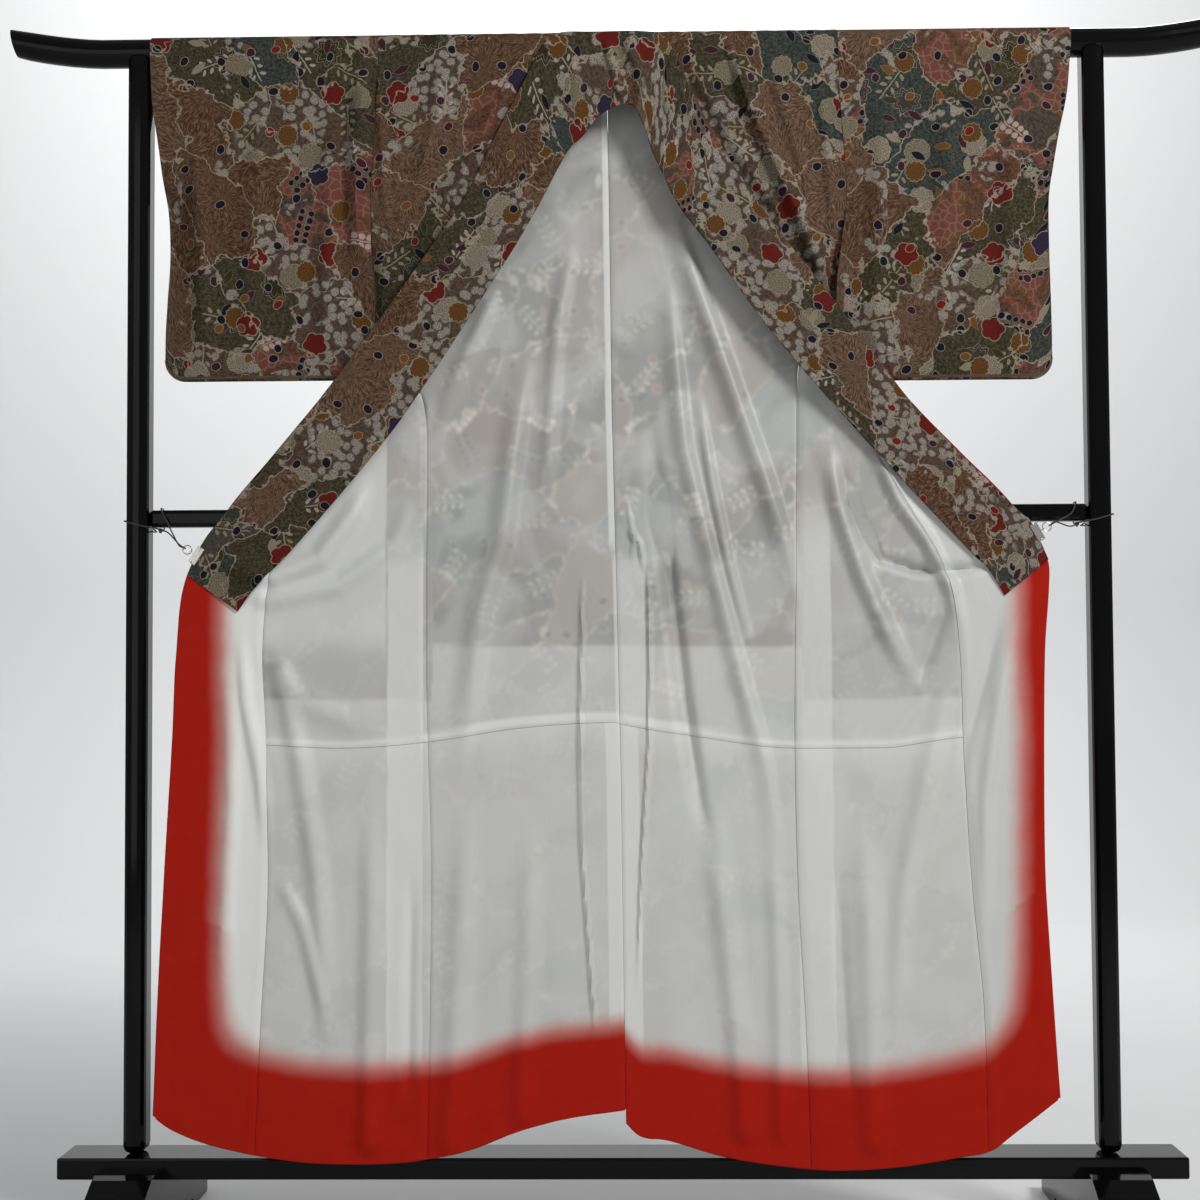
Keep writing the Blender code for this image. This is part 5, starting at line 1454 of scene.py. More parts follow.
@dataclass(frozen=True)
class Front:
    """The lie of one front, level by level, from its side edge to its front edge."""

    side: Side

    def column(self, height: Array, word: str) -> Array:
        """Return one of the front's table columns at heights; the side keeps up with the sleeve's seam."""
        value = read(FRONT[self.side], "height", word, height)
        if word == "side":
            sleeve = read(SLEEVE[self.side], "height", "seam", height) - 0.0002
            value = blend(value, np.maximum(value, sleeve), ease((np.asarray(height) - 1.27) / 0.03))
        return value

    def side_edge(self, height: Array) -> Array:
        """Return how far out the cloth's side edge runs."""
        return self.column(height, "side") - SEAM_INSET

    def seam_edge(self, height: Array) -> Array:
        """Return how far out the cloth's edge at the okumi seam runs."""
        return self.column(height, "seam") - SEAM_INSET

    def begin(self, height: Array) -> Array:
        """Return how far forward the side edge lies."""
        share = ease((height - SEAM_JOIN) / (ARMHOLE_BOTTOM - SEAM_JOIN))
        return blend(back_forward(height) + LAYER_STEP, DRAPE_RADIUS, share)

    def fold(self, height: Array) -> Array:
        """Return where the front turns over; above and below its fold this is an edge."""
        side = self.side_edge(height)
        rows = FOLD_LINE[self.side]
        line = read(rows, "height", "out", height)
        line = np.where(height >= rows[0].height, self.seam_edge(height), line)
        return np.where(height <= rows[-1].height, side, np.minimum(line, side))

    def ways(self, height: Array) -> tuple[Array, Array]:
        """Return the cloth's widths from the side edge to the fold and from there to the okumi seam."""
        fold = self.fold(height)
        return np.abs(self.side_edge(height) - fold), np.abs(self.seam_edge(height) - fold)

    def turn(self, height: Array) -> Array:
        """Return the share of the cloth's width at which it turns over."""
        first, second = self.ways(height)
        return first / (first + second)

    def lie(self, height: Array, share: Array) -> tuple[Array, Array]:
        """Return the front's places at heights and shares of its width from the side edge to the okumi seam.

        Args:
            height: The heights, before the hem's curve.
            share: The shares.

        Returns:
            The distances out and the distances forward.
        """
        edge = self.column(height, "edge")
        edge_forward = self.column(height, "edge_forward")
        fold = self.fold(height)
        begin = self.begin(height)
        turn = self.turn(height)
        first_way, second_way = self.ways(height)
        run = share * (first_way + second_way)
        first_out = self.side_edge(height) - np.minimum(run, first_way)
        out = first_out + np.maximum(run - first_way, 0.0)
        top = FOLD_LINE[self.side][0].height
        low = FOLD_LINE[self.side][-1].height
        upper = ease((height - top) / 0.03)
        end_first = blend(begin + 0.3 * (edge_forward - begin), edge_forward, upper)
        first = blend(begin, end_first, share / np.maximum(turn, 1e-3))
        lower = ease((height - low + 0.05) / 0.05)
        start_second = blend(begin, begin + 0.3 * (edge_forward - begin) + 2 * TURN_RADIUS, lower)
        way = np.clip((out - fold) / np.where(np.abs(edge - fold) < 1e-3, 1e-3, edge - fold), 0.0, 1.0)
        second = blend(start_second, np.maximum(edge_forward, start_second), way)
        over = ease((run - first_way) / (4 * TURN_RADIUS) + 0.5)
        over = np.where(turn > 0.999, 0.0, np.where(turn < 0.001, 1.0, over))
        joined = (1.0 - ease(run / 0.012)) * (1.0 - ease((height - SEAM_JOIN) / 0.08))
        return out, blend(first, second, over) - (LAYER_STEP - seam_lap(height)) * joined

    def okumi(self, height: Array, share: Array) -> tuple[Array, Array]:
        """Return the okumi's places at heights and shares of its width from its seam to the front edge."""
        side = self.side_edge(height)
        edge = self.column(height, "edge")
        out = blend(self.column(height, "seam") + SEAM_INSET, edge, share)
        way = (out - side) / (edge - side)
        return out, blend(self.begin(height), self.column(height, "edge_forward"), way)


def crease_lift(x: Array, z: Array, upper: bool) -> Array:
    """Return how far the creases bring the body's cloth forward.

    Args:
        x: The places across.
        z: The places' heights.
        upper: Whether the creases of the upper fronts take over above the fold.

    Returns:
        The forward moves.
    """
    lift = LINING_CREASES.forward(x, z) * ease((1.60 - z) / 0.12)
    if upper:
        lift = blend(lift, UPPER_CREASES.forward(x, z), ease((z - 1.33) / 0.06))
    behind = np.minimum(np.abs(z - MID_RAIL_HEIGHT), np.abs(z - HEM_LEVEL))
    return np.maximum(lift, -0.0006 - 0.0120 * ease((behind - 0.025) / 0.07))


def hanging(side: Side, out: Array, forward: Array, height: Array, upper: bool) -> Array:
    """Put places of the body's cloth into space with their creases.

    Args:
        side: The half of the garment.
        out: The distances out from the middle.
        forward: The distances forward of the rail's middle, creases left out.
        height: The heights before the hem's curve.
        upper: Whether the creases of the upper fronts are in it.

    Returns:
        The points.
    """
    x = side.value * out
    z = on_hem(side, out, height)
    return np.stack((x, -(forward + crease_lift(x, z, upper)), z), axis=-1)


def waist_shifted(side: Side, out: Array, height: Array) -> Array:
    """Move heights so that the level of the waist seam follows the seam's real curve."""
    seam = read(WAIST_SEAM, "out", "height", side.value * out)
    near = ease(1.0 - np.abs(height - WAIST_LEVEL) / 0.16)
    return height + (seam - on_hem(side, out, WAIST_LEVEL)) * near


def dyed(side: Side, points: Array) -> Array:
    """Return how red the hem lining is at points: 1 at the hem and the front edge, 0 further in."""
    out = side.value * points[..., 0]
    height = points[..., 2]
    level = height - hem_height(side, out)
    edge = read(FRONT[side], "height", "edge", height)
    low = level - (DYE_REACH - 0.012 * ease(1.0 - out / 0.2))
    beside = edge - out - straight(DYED_BAND[side], height)
    both = 0.5 * (low + beside - np.sqrt((low - beside) ** 2 + 0.05 ** 2 * ease((level - 0.02) / 0.08)))
    near = np.where(level < 0.3, both, beside)
    return np.clip(0.5 - near / 0.060, 0.0, 1.0)


def between(value: Array, low: float, high: float, soft: float = 0.0012) -> Array:
    """Return 1 between two limits and 0 outside them, with soft edges."""
    return ease((value - low) / soft + 0.5) * ease((high - value) / soft + 0.5)


def veiled(points: Array) -> tuple[Array, Array]:
    """Return how much the pattern shows through the lining, and where seam allowances back it, with painted
    light and painted shade on the left half.

    Args:
        points: The lining's points.

    Returns:
        The strength of the ghost and the strength of the doubled cloth together with the painted light.
    """
    x = points[..., 0]
    z = points[..., 2]
    seam = read(WAIST_SEAM, "out", "height", x)
    middle = x - centre_x(z)
    above = ease((z - seam) / 0.002 + 0.5)
    shelf = np.where(np.abs(x) < 0.26, 0.826 - 0.01 * x, 0.752)
    # Three for the centre seam, two for the side seams, three for the waist seam, then whole areas
    strips = (
        0.62 * between(middle, -0.0090, -0.0010) * ease((z - 0.95) / 0.03),
        0.40 * between(middle, -0.0050, 0.0400) * ease((0.96 - z) / 0.02) * above,
        0.55 * between(middle, -0.0200, 0.0260) * (1.0 - above),
        # Painted shade: this strip stops whitening the silk above about 1 m, where shade falls on it
        0.55 * between(x, -0.3225, -0.2727) * ease((1.02 - z) / 0.10),
        0.42 * between(x, 0.2506, 0.2996) * ease((1.08 - z) / 0.14),
        0.34 * above * between(z, seam, shelf, 0.003),
        0.75 * above * between(z, seam, seam + 0.013),
        0.30 * (1.0 - above) * ease((z - seam + 0.05) / 0.06) * between(z, 0.0, seam),
        # Painted light: the left front's lining above 0.8 m is whitened, as more light falls on it
        0.45 * ease((-x - 0.3225) / 0.004) * ease((z - 0.80) / 0.05),
        0.34 * (1.0 - above),
    )
    double = np.zeros(x.shape)
    for strip in strips:
        double = 1.0 - (1.0 - double) * (1.0 - strip)
    strength = np.where(above > 0.5, np.where(np.abs(x) < 0.26, 1.0, 0.75), 0.85)
    return strength * (1.0 - double), double


def above_hem(height: Array) -> Array:
    """Return 0 at the hem, where laps fade, and 1 a few millimetres above it."""
    return ease((height - HEM_LEVEL - 0.002) / 0.005)


def seam_lap(height: Array) -> Array:
    """Return how far the back's silk laps over the front's at the side seam, below the sleeves."""
    return SEAM_LAP * (1.0 - ease((height - LAP_TOP) / 0.02))


def seam_dip(gap: Array) -> Array:
    """Return how far a lining draws back beside a seam, by the way to the seam; past that it puffs."""
    puff = np.exp(-((gap - 0.0085) / 0.0045) ** 2)
    return 0.0010 * (1.0 - ease(gap / 0.0045)) - 0.0009 * puff


def collar_out(side: Side, drop: Array) -> Array:
    """Return how far out the collar's outer edge runs, by the way down from the rail's top line."""
    drops, outs = zip(*sorted((row.out_drop, abs(row.out_x)) for row in COLLAR if row.out_x * side.value > 0))
    return np.interp(drop, drops, outs)


@dataclass
class BodyCloth:
    """One body length: front, shoulder and half of the back, cut as one cloth.

    Args:
        side: The half of the garment.
        pitch: The way between points down the cloth.
        columns: How many points go across the front.
        back_columns: How many more points the back has up to the centre seam.
        tuck: How many of those points the front has too, under the collar.
        hollow: How deep the cloth sinks beside the collar's outer edge near the neck.
        lap: How far the left half's back reaches past the centre seam.
        lap_back: How far it lies behind the right half there.
    """

    side: Side
    pitch: float = 0.0070
    columns: int = 72
    back_columns: int = 18
    tuck: int = 4
    hollow: float = 0.0080
    lap: float = 0.0017
    lap_back: float = 0.0019

    def beside_collar(self, x: Array, z: Array) -> Array:
        """Return how far the front sinks back beside the collar's outer edge, which then stands off it."""
        edge = collar_out(self.side, RAIL_HEIGHT - z + DRAPE_RADIUS * math.pi / 2)
        gap = 0.7 * (self.side.value * x - edge) - 0.003
        deep = self.hollow * (0.5 if self.side is Side.LEFT else 1.0)
        return deep * (1.0 - ease(np.abs(gap) / 0.012)) * ease((z - 1.39) / 0.06) * ease((1.66 - z) / 0.02)

    def grid(self) -> Grid:
        """Return the length as one grid from the front's hem over the rail to the back's hem."""
        levels = np.linspace(HEM_LEVEL, 1.64, int(1.52 / self.pitch) + 1)
        share = np.linspace(0.0, 1.0, self.columns)
        extra = np.linspace(0.0, 1.0, self.back_columns + 1)[1:]
        angles = np.linspace(math.pi / 2, -math.pi / 2, 25)
        front = self.front_rows(levels, share, extra)
        arc = self.arc_rows(angles, share, extra)
        back = self.back_rows(levels[::-1], share, extra)
        points = np.concatenate((front, arc, back))

        over = slice(len(levels), len(levels) + len(angles))
        keep = np.ones(points.shape[:2], bool)
        keep[:over.start, self.columns:] = False
        keep[int((levels < 1.45).sum()):over.start, self.columns:self.columns + self.tuck] = True
        shut = over.start + int((angles > NECK_ARC + 0.01).sum())
        keep[over.start:shut, self.columns + self.tuck:] = False
        outward = np.zeros(points.shape)
        past_fold = share[None, :] > Front(self.side).turn(levels)[:, None] - 1e-6
        outward[:over.start, :self.columns, 1] = np.where(past_fold, 1.0, -1.0)
        outward[:over.start, self.columns:, 1] = -1.0
        outward[over, :, 1] = -np.sin(angles)[:, None]
        outward[over, :, 2] = np.cos(angles)[:, None]
        outward[over.stop:, :, 1] = 1.0
        run = run_along(points[:, 0])
        wide = np.abs(np.concatenate((np.zeros((len(points), 1)), np.diff(points[..., 0], axis=1)), axis=1))
        weave = np.stack((np.cumsum(wide, axis=1), np.broadcast_to(run[:, None], points.shape[:2])), axis=-1)
        return Grid(points, outward, weave, keep)

    def front_rows(self, levels: Array, share: Array, extra: Array) -> Array:
        """Return the front's points, and beside them those that lie tucked under the collar.

        Args:
            levels: The rows' heights, upwards.
            share: The columns' shares of the front's width.
            extra: The shares of the columns beyond the front.

        Returns:
            The points.
        """
        height, across = np.meshgrid(levels, share, indexing="ij")
        out, forward = Front(self.side).lie(height, across)
        points = hanging(self.side, out, forward, height, True)
        inwards = np.array((-0.05 * self.side.value, 0.0, 0.0))
        rows = np.concatenate((points, points[:, -1:, :] + extra[None, :, None] * inwards), axis=1)
        rows[..., 1] += self.beside_collar(rows[..., 0], rows[..., 2])
        return rows

    def arc_rows(self, angles: Array, share: Array, extra: Array) -> Array:
        """Return the points on the rail, from its front to its back.

        Args:
            angles: The rows' angles from the rail's top line.
            share: The columns' shares of the way from the sleeve to the neck.
            extra: The shares of the columns from there to the centre seam.

        Returns:
            The points.
        """
        shoulder = float(Front(self.side).side_edge(np.array(RAIL_HEIGHT)))
        middle = self.side.value * CENTRE_SEAM[0].x + SEAM_INSET
        inner = np.maximum(collar_out(self.side, DRAPE_RADIUS * angles), 0.03)
        inner = blend(inner, NECK_HALF_WIDTH, ease((NECK_ARC - angles) / (math.pi / 3)))[:, None]
        outs = np.concatenate((blend(shoulder, inner, share[None, :]),
                               blend(inner, middle, extra[None, :])), axis=1)
        ripple = 0.0006 * np.sin(outs * 95.0) * np.cos(angles)[:, None]
        radius = DRAPE_RADIUS + np.abs(ripple)
        return np.stack((self.side.value * outs, -radius * np.sin(angles)[:, None],
                         RAIL_HEIGHT + radius * np.cos(angles)[:, None]), axis=-1)

    def back_rows(self, levels: Array, share: Array, extra: Array) -> Array:
        """Return the back's points.

        Args:
            levels: The rows' heights, downwards.
            share: The columns' shares of the way from the side seam to below the neck.
            extra: The shares of the columns from there to the centre seam.

        Returns:
            The points.
        """
        side_out = (Front(self.side).side_edge(levels) + seam_lap(levels))[:, None]
        lapped = self.centre_lap(levels)
        seam_out = (self.side.value * centre_x(levels) + SEAM_INSET - self.lap * lapped)[:, None]
        out = np.concatenate((blend(side_out, NECK_HALF_WIDTH, share[None, :]),
                              blend(NECK_HALF_WIDTH, seam_out, extra[None, :])), axis=1)
        height = np.broadcast_to(levels[:, None], out.shape)
        forward = np.array(back_forward(height))
        forward[:, -1] -= self.lap_back * lapped
        return hanging(self.side, out, forward, height, False)

    def centre_lap(self, levels: Array) -> Array:
        """Return how much the left half laps behind the right one at the centre seam."""
        if self.side is Side.RIGHT:
            return np.zeros(levels.shape)
        return above_hem(levels) * ease((1.58 - levels) / 0.05)

    def dress(self, silk: bpy.types.Material) -> None:
        """Build the length and let it stand for its solid."""
        name = f"komon_length_{self.side.word}"
        grid = self.grid()
        grid.weave = grid.weave + np.array((0.0 if self.side is Side.LEFT else 2.35, 0.0))
        piece = shell(name, grid, *SILK_FACES, silk)
        settle(piece, "komon_silk", f"body_{self.side.word}")


@dataclass
class OkumiCloth:
    """The narrow panel between a front and its front edge, outer silk and its lining.

    Args:
        side: The half of the garment.
        columns: How many points go across.
        rows: How many points go up.
        lap: How far the outer silk reaches behind the front's cloth at their seam.
        seam_back: How far its edge at the seam lies back.
        lap_back: How much further back the lap lies.
    """

    side: Side
    columns: int = 34
    rows: int = 176
    lap: float = 0.0017
    seam_back: float = 0.0010
    lap_back: float = 0.0005

    def grid(self, lapped: bool) -> Grid:
        """Return the okumi's grid, whose outer side looks back, with or without its lap at the seam."""
        levels = np.linspace(HEM_LEVEL, 1.22, self.rows)
        height, share = np.meshgrid(levels, np.linspace(0.0, 1.0, self.columns), indexing="ij")
        out, forward = Front(self.side).okumi(height, share)
        if lapped:
            behind = above_hem(height[:, :1])
            forward[:, :1] -= self.seam_back * behind
            out = np.concatenate((out[:, :1] - self.lap, out), axis=1)
            forward = np.concatenate((forward[:, :1] - self.lap_back * behind, forward), axis=1)
            height = np.concatenate((height[:, :1], height), axis=1)
        points = hanging(self.side, out, forward, height, False)
        outward = np.broadcast_to(np.array((0.0, 1.0, 0.0)), points.shape)
        return Grid(points, outward, np.stack((out, height), axis=-1))

    def dress(self, silk: bpy.types.Material, lining: bpy.types.Material) -> None:
        """Build the outer panel and its lining."""
        word = self.side.word
        grid = self.grid(True)
        grid.weave = grid.weave + np.array((1.1 * self.side.value, 0.4))
        outer = shell(f"komon_okumi_{word}", grid, *SILK_FACES, silk)
        settle(outer, "komon_silk", f"okumi_{word}")
        grid = self.grid(False)
        # Painted light: the left okumi's lining is painted much whiter than the right one's, as more light
        # falls on it
        plain = np.full(grid.points.shape[:2], 0.97 if self.side is Side.LEFT else 0.30)
        grid.values = {"dye": dyed(self.side, grid.points), "veil": 0.12 * plain, "double": plain}
        seam = grid.points[:, :1, 0]
        dip = seam_dip(np.abs(grid.points[..., 0] - seam))
        inner = shell(f"lining_okumi_{word}", grid, *(face + dip for face in LINING_FACES), lining)
        settle(inner, "hakkake_red", f"hakkake_okumi_{word}")


class Part(Enum):
    """The pieces of a half's lining."""

    BACK = "back"
    FRONT = "front"


@dataclass
class LiningCloth:
    """The white lining and the dyed hem lining of one back or front.

    Args:
        side: The half of the garment.
        part: Back or front.
        top: The height that the lining reaches.
    """

    side: Side
    part: Part
    top: float
    columns: int = 100
    pitch: float = 0.0064

    def shares(self) -> Array:
        """Return the shares across, closer together at the seams."""
        even = np.linspace(0.0, 1.0, self.columns)
        return 0.72 * even + 0.28 * ease(even)

    def faces(self, grid: Grid) -> tuple[Array, Array]:
        """Return where the lining's two faces lie along the normals; at its seams it draws back."""
        x = grid.points[..., 0]
        z = grid.points[..., 2]
        sides = np.minimum(np.abs(x - x[:, :1]), np.abs(x - x[:, -1:]))
        waist = np.abs(z - read(WAIST_SEAM, "out", "height", x))
        dip = np.maximum(seam_dip(sides), 0.6 * seam_dip(waist))
        return dip + LINING_FACES[0], dip + LINING_FACES[1]

    def grid(self, low: float, high: float) -> Grid:
        """Return the grid between two levels."""
        levels = np.linspace(low, high, int((high - low) / self.pitch) + 1)
        height, share = np.meshgrid(levels, self.shares(), indexing="ij")
        front = Front(self.side)
        if self.part is Part.FRONT:
            turn = front.turn(height)
            past = np.where(turn > 0.01, turn + 0.05, turn)
            out, forward = front.lie(height, blend(past, 1.0, share))
        else:
            centre = self.side.value * centre_x(height) + SEAM_INSET
            out = blend(front.side_edge(height), centre, share)
            forward = back_forward(height)
        height = waist_shifted(self.side, out, height)
        points = hanging(self.side, out, forward, height, False)
        outward = np.broadcast_to(np.array((0.0, 1.0, 0.0)), points.shape)
        veil, double = veiled(points)
        values = {"dye": dyed(self.side, points) if self.part is Part.FRONT else self.back_dye(points),
                  "veil": veil, "double": double}
        weave = np.stack((self.side.value * out, height), axis=-1)
        return Grid(points, outward, weave, values=values)

    def back_dye(self, points: Array) -> Array:
        """Return how red the back's hem lining is: a band along the hem alone."""
        out = self.side.value * points[..., 0]
        level = points[..., 2] - hem_height(self.side, out)
        reach = DYE_REACH - 0.010 * ease(1.0 - np.maximum(out, 0.0) / 0.2)
        return np.clip(0.5 - (level - reach) / 0.056, 0.0, 1.0)

    def dress(self, white: bpy.types.Material, dyed_silk: bpy.types.Material) -> None:
        """Build the upper lining and the hem lining under it."""
        word = self.side.word
        kind = self.part.value
        grid = self.grid(WAIST_LEVEL + SEAM_INSET, self.top)
        upper = shell(f"lining_upper_{kind}_{word}", grid, *self.faces(grid), white)
        settle(upper, "lining_silk", f"lining_{kind}_{word}")
        grid = self.grid(HEM_LEVEL, WAIST_LEVEL - SEAM_INSET)
        lower = shell(f"lining_hem_{kind}_{word}", grid, *self.faces(grid), dyed_silk)
        settle(lower, "hakkake_white", f"hakkake_{kind}_{word}")


@dataclass
class SleeveCloth:
    """One sleeve: a flat bag round the rail, open at its cuff and along the body below the armhole.

    Args:
        side: The half of the garment.
        columns: How many points go across.
        rows: How many points go down each of its two sides.
        arc: How many points go over the rail.
        top: The height at which the two sides begin, below the rail.
        facing: The width over which the lining is dyed red inside the cuff.
        least: The half depth below which the bag is too flat for a lining to show.
    """

    side: Side
    columns: int = 64
    rows: int = 52
    arc: int = 17
    top: float = 1.62
    facing: float = 0.012
    least: float = 0.0032

    def out(self, level: Array, share: Array) -> Array:
        """Return how far out points are, by height and share of the way from the body seam to the tip."""
        rows = SLEEVE[self.side]
        seam = read(rows, "height", "seam", level) + SEAM_INSET
        return blend(seam, read(rows, "height", "tip", level), share)

    def half_depth(self, level: Array, share: Array) -> Array:
        """Return half of the sleeve's depth: round the rail, flat lower down, shut under the cuff's mouth."""
        down = (RAIL_HEIGHT - level) / (RAIL_HEIGHT - SLEEVE_BOTTOM[self.side])
        half = blend(DRAPE_RADIUS, SLEEVE_FOOT_HALF, np.clip(down, 0.0, 1.0) ** 4)
        shut = ease((share - 0.80) / 0.20) * ease((1.50 - level) / 0.055)
        return blend(half, SLEEVE_SHUT_HALF, shut)

    def foot(self, share: Array) -> Array:
        """Return the height of the bottom edge, with its rounded outer corner."""
        bottom = SLEEVE_BOTTOM[self.side]
        rows = SLEEVE[self.side]
        wide = float(read(rows, "height", "tip", bottom) - read(rows, "height", "seam", bottom))
        along = np.clip(SLEEVE_CORNER - wide * (1.0 - share), 0.0, SLEEVE_CORNER)
        return bottom + SLEEVE_CORNER - np.sqrt(SLEEVE_CORNER ** 2 - along ** 2)

    def grid(self) -> Grid:
        """Return the sleeve as rings from the front's bottom over the rail and down to the back's bottom."""
        share = 1.0 - (1.0 - np.linspace(0.0, 1.0, self.columns)) ** 1.35
        foot = self.foot(share)
        down = np.linspace(0.0, 1.0, self.rows)
        level = blend(self.top, foot[None, :] + 0.006, down[:, None])
        across = np.broadcast_to(share[None, :], level.shape)
        half = self.half_depth(level, across)
        x = self.side.value * self.out(level, across)
        lift = SLEEVE_CREASES.forward(x, level) * ease((1.0 - across) / 0.06) * ease(across / 0.03)
        lift = np.maximum(lift * ease(half / 0.004), -0.001)
        front = np.stack((x, -(half + lift), level), axis=-1)
        back = np.stack((x, half + 0.5 * lift, level), axis=-1)

        angles = np.linspace(math.pi / 2, -math.pi / 2, self.arc)
        round_rail = (self.side.value * self.out(np.full(share.shape, RAIL_HEIGHT), share)[None, :],
                      -DRAPE_RADIUS * np.sin(angles)[:, None],
                      RAIL_HEIGHT + DRAPE_RADIUS * np.cos(angles)[:, None])
        arc = np.stack([np.broadcast_to(part, (self.arc, self.columns)) for part in round_rail], axis=-1)

        foot_half = np.maximum(self.half_depth(foot, share), SLEEVE_SHUT_HALF)
        foot_x = self.side.value * self.out(foot, share)
        closing = []
        for angle in map(math.radians, range(30, 180, 30)):
            closing.append(np.stack((foot_x, foot_half * math.cos(angle),
                                     foot + foot_half - foot_half * math.sin(angle)), axis=-1))
        points = np.concatenate((front[::-1], arc, back, np.array(closing)))
        points = np.concatenate((points, points[:1]))
        over = slice(self.rows, self.rows + self.arc)
        outward = np.zeros(points.shape)
        outward[:over.start, :, 1] = -1.0
        outward[over, :, 1] = -np.sin(angles)[:, None]
        outward[over, :, 2] = np.cos(angles)[:, None]
        outward[over.stop:over.stop + self.rows, :, 1] = 1.0
        outward[over.stop + self.rows:, :, 2] = -1.0
        outward[-1] = (0.0, -1.0, 0.0)
        run = run_along(points[:, self.columns // 3 - 1])
        weave = np.stack((np.abs(points[..., 0]), np.broadcast_to(run[:, None], points.shape[:2])), axis=-1)
        return Grid(points, outward, weave)

    def dress(self, silk: bpy.types.Material, lining: bpy.types.Material) -> None:
        """Build the sleeve and the lining that its open edges show."""
        word = self.side.word
        grid = self.grid()
        grid.weave = grid.weave + np.array((3.4 + self.side.value, 0.15))
        piece = shell(f"komon_sleeve_{word}", grid, *SLEEVE_FACES, silk, closed_rows=True)
        settle(piece, "komon_silk", f"sleeve_{word}")
        out, half, level = np.moveaxis(np.abs(grid.points), -1, 0)
        tip = read(SLEEVE[self.side], "height", "tip", level)
        near_cuff = np.clip(1.0 - (tip - out) / self.facing, 0.0, 1.0)
        grid.values = {"dye": near_cuff, "veil": np.ones(level.shape), "double": np.zeros(level.shape)}
        grid.keep = ((half > self.least) | (level > 1.50)) & (level > SLEEVE_BOTTOM[self.side] + 0.02)
        inner = shell(f"lining_sleeve_{word}", grid, *SLEEVE_LINING_FACES, lining)
        settle(inner, "lining_silk")


@dataclass
class CollarBand:
    """The wide collar, one band from end to end with its outer face to the viewer.

    Args:
        steps: How many rows of points come from one station to the next.
        width: The band's width.
        thickness: How far its outer face stands off its inner face.
        rim: The way over which its edges are rounded.
        least: The thickness that the edges keep.
    """

    steps: int = 14
    width: float = 0.11
    thickness: float = 0.0019
    rim: float = 0.0016
    least: float = 0.0002

    def shares(self) -> Array:
        """Return the shares across the band, closer together at its edges."""
        edge = np.array((0.0, 0.004, 0.010, 0.020))
        return np.concatenate((edge, np.linspace(0.035, 0.965, 27), 1.0 - edge[::-1]))

    def grid(self) -> Grid:
        """Return the band's grid on the fronts and over the rail."""
        stations = Station(*rounded(np.array(COLLAR), self.steps).T[..., None])
        share = self.shares()
        x = blend(stations.out_x, stations.in_x, share[None, :])
        drop = blend(stations.out_drop, stations.in_drop, share[None, :])
        quarter = DRAPE_RADIUS * math.pi / 2
        angle = np.minimum(drop, quarter) / DRAPE_RADIUS
        height = RAIL_HEIGHT - np.maximum(drop - quarter, 0.0)
        forward = np.where(x < 0, read(LEFT_FRONT, "height", "edge_forward", height),
                           read(RIGHT_FRONT, "height", "edge_forward", height))
        on_rail = drop < quarter
        y = np.where(on_rail, -DRAPE_RADIUS * np.sin(angle), -forward)
        z = np.where(on_rail, RAIL_HEIGHT + DRAPE_RADIUS * np.cos(angle), height)
        base = np.stack((x, y, z), axis=-1)
        outward = np.stack((np.zeros(x.shape), -np.sin(angle), np.cos(angle)), axis=-1)
        bulge = stations.lift * np.sin(np.pi * np.minimum(share * 1.2, 1.0) * 0.5)[None, :]
        folds = np.maximum(crease_lift(x, z, True), -0.0008) * ease((1.66 - z) / 0.05)
        lift = COLLAR_BACK + bulge + self.crumple(x, z) + folds
        points = base + outward * lift[..., None]
        run = run_along(points[:, len(share) // 2])
        weave = np.stack((np.broadcast_to(share[None, :] * self.width, x.shape),
                          np.broadcast_to(run[:, None], x.shape)), axis=-1)
        return Grid(points, outward, weave + np.array((6.3, 0.2)))

    def crumple(self, x: Array, z: Array) -> Array:
        """Return the band's own creases: the fold at the neck and its soft roll, and light slack below."""
        slack = 0.0004 * (np.sin(x * 61.0 + z * 37.0) + 0.7 * np.sin(z * 88.0 - x * 20.0))
        return raised(NECK_CREASES, x, z) + slack

    def dress(self, silk: bpy.types.Material) -> Grid:
        """Build the band with rounded edges and let it stand for its solid."""
        grid = self.grid()
        share = self.shares()
        rim = np.minimum(share, 1.0 - share) * self.width / self.rim
        round_edge = np.sqrt(1.0 - (1.0 - np.clip(rim, 0.0, 1.0)) ** 2)
        far = self.least + (self.thickness - self.least) * (0.25 + 0.75 * round_edge)
        piece = shell("komon_collar", grid, 0.0, np.broadcast_to(far[None, :], grid.points.shape[:2]), silk)
        settle(piece, "komon_silk", "collar")
        return grid


NECK_CREASES = (
    Crease(((-0.0150, 1.693), (-0.006, 1.655), (0.008, 1.602)), 0.0052, 0.020, 0.0034, (0.25, 0.06)),
    Crease(((0.016, 1.694), (0.033, 1.650), (0.039, 1.608),
            (0.026, 1.560)), 0.0078, 0.015, 0.017, (0.12, 0.2)),
    Crease(((0.078, 1.667), (0.070, 1.635), (0.066, 1.605),
            (0.080, 1.545)), -0.0042, 0.009, 0.011, (0.12, 0.3)),
    Crease(((0.094, 1.655), (0.098, 1.610), (0.125, 1.545)), 0.0030, 0.010, 0.016, (0.15, 0.3)),
    Crease(((-0.060, 1.670), (-0.052, 1.620), (-0.055, 1.560)), 0.0022, 0.014, 0.014, (0.2, 0.3)),
    Crease(((0.110, 1.570), (0.190, 1.430), (0.300, 1.280)), 0.0016, 0.014, 0.018, (0.2, 0.3)),
    Crease(((-0.130, 1.560), (-0.220, 1.410), (-0.330, 1.260)), 0.0014, 0.016, 0.016, (0.2, 0.3)),
)


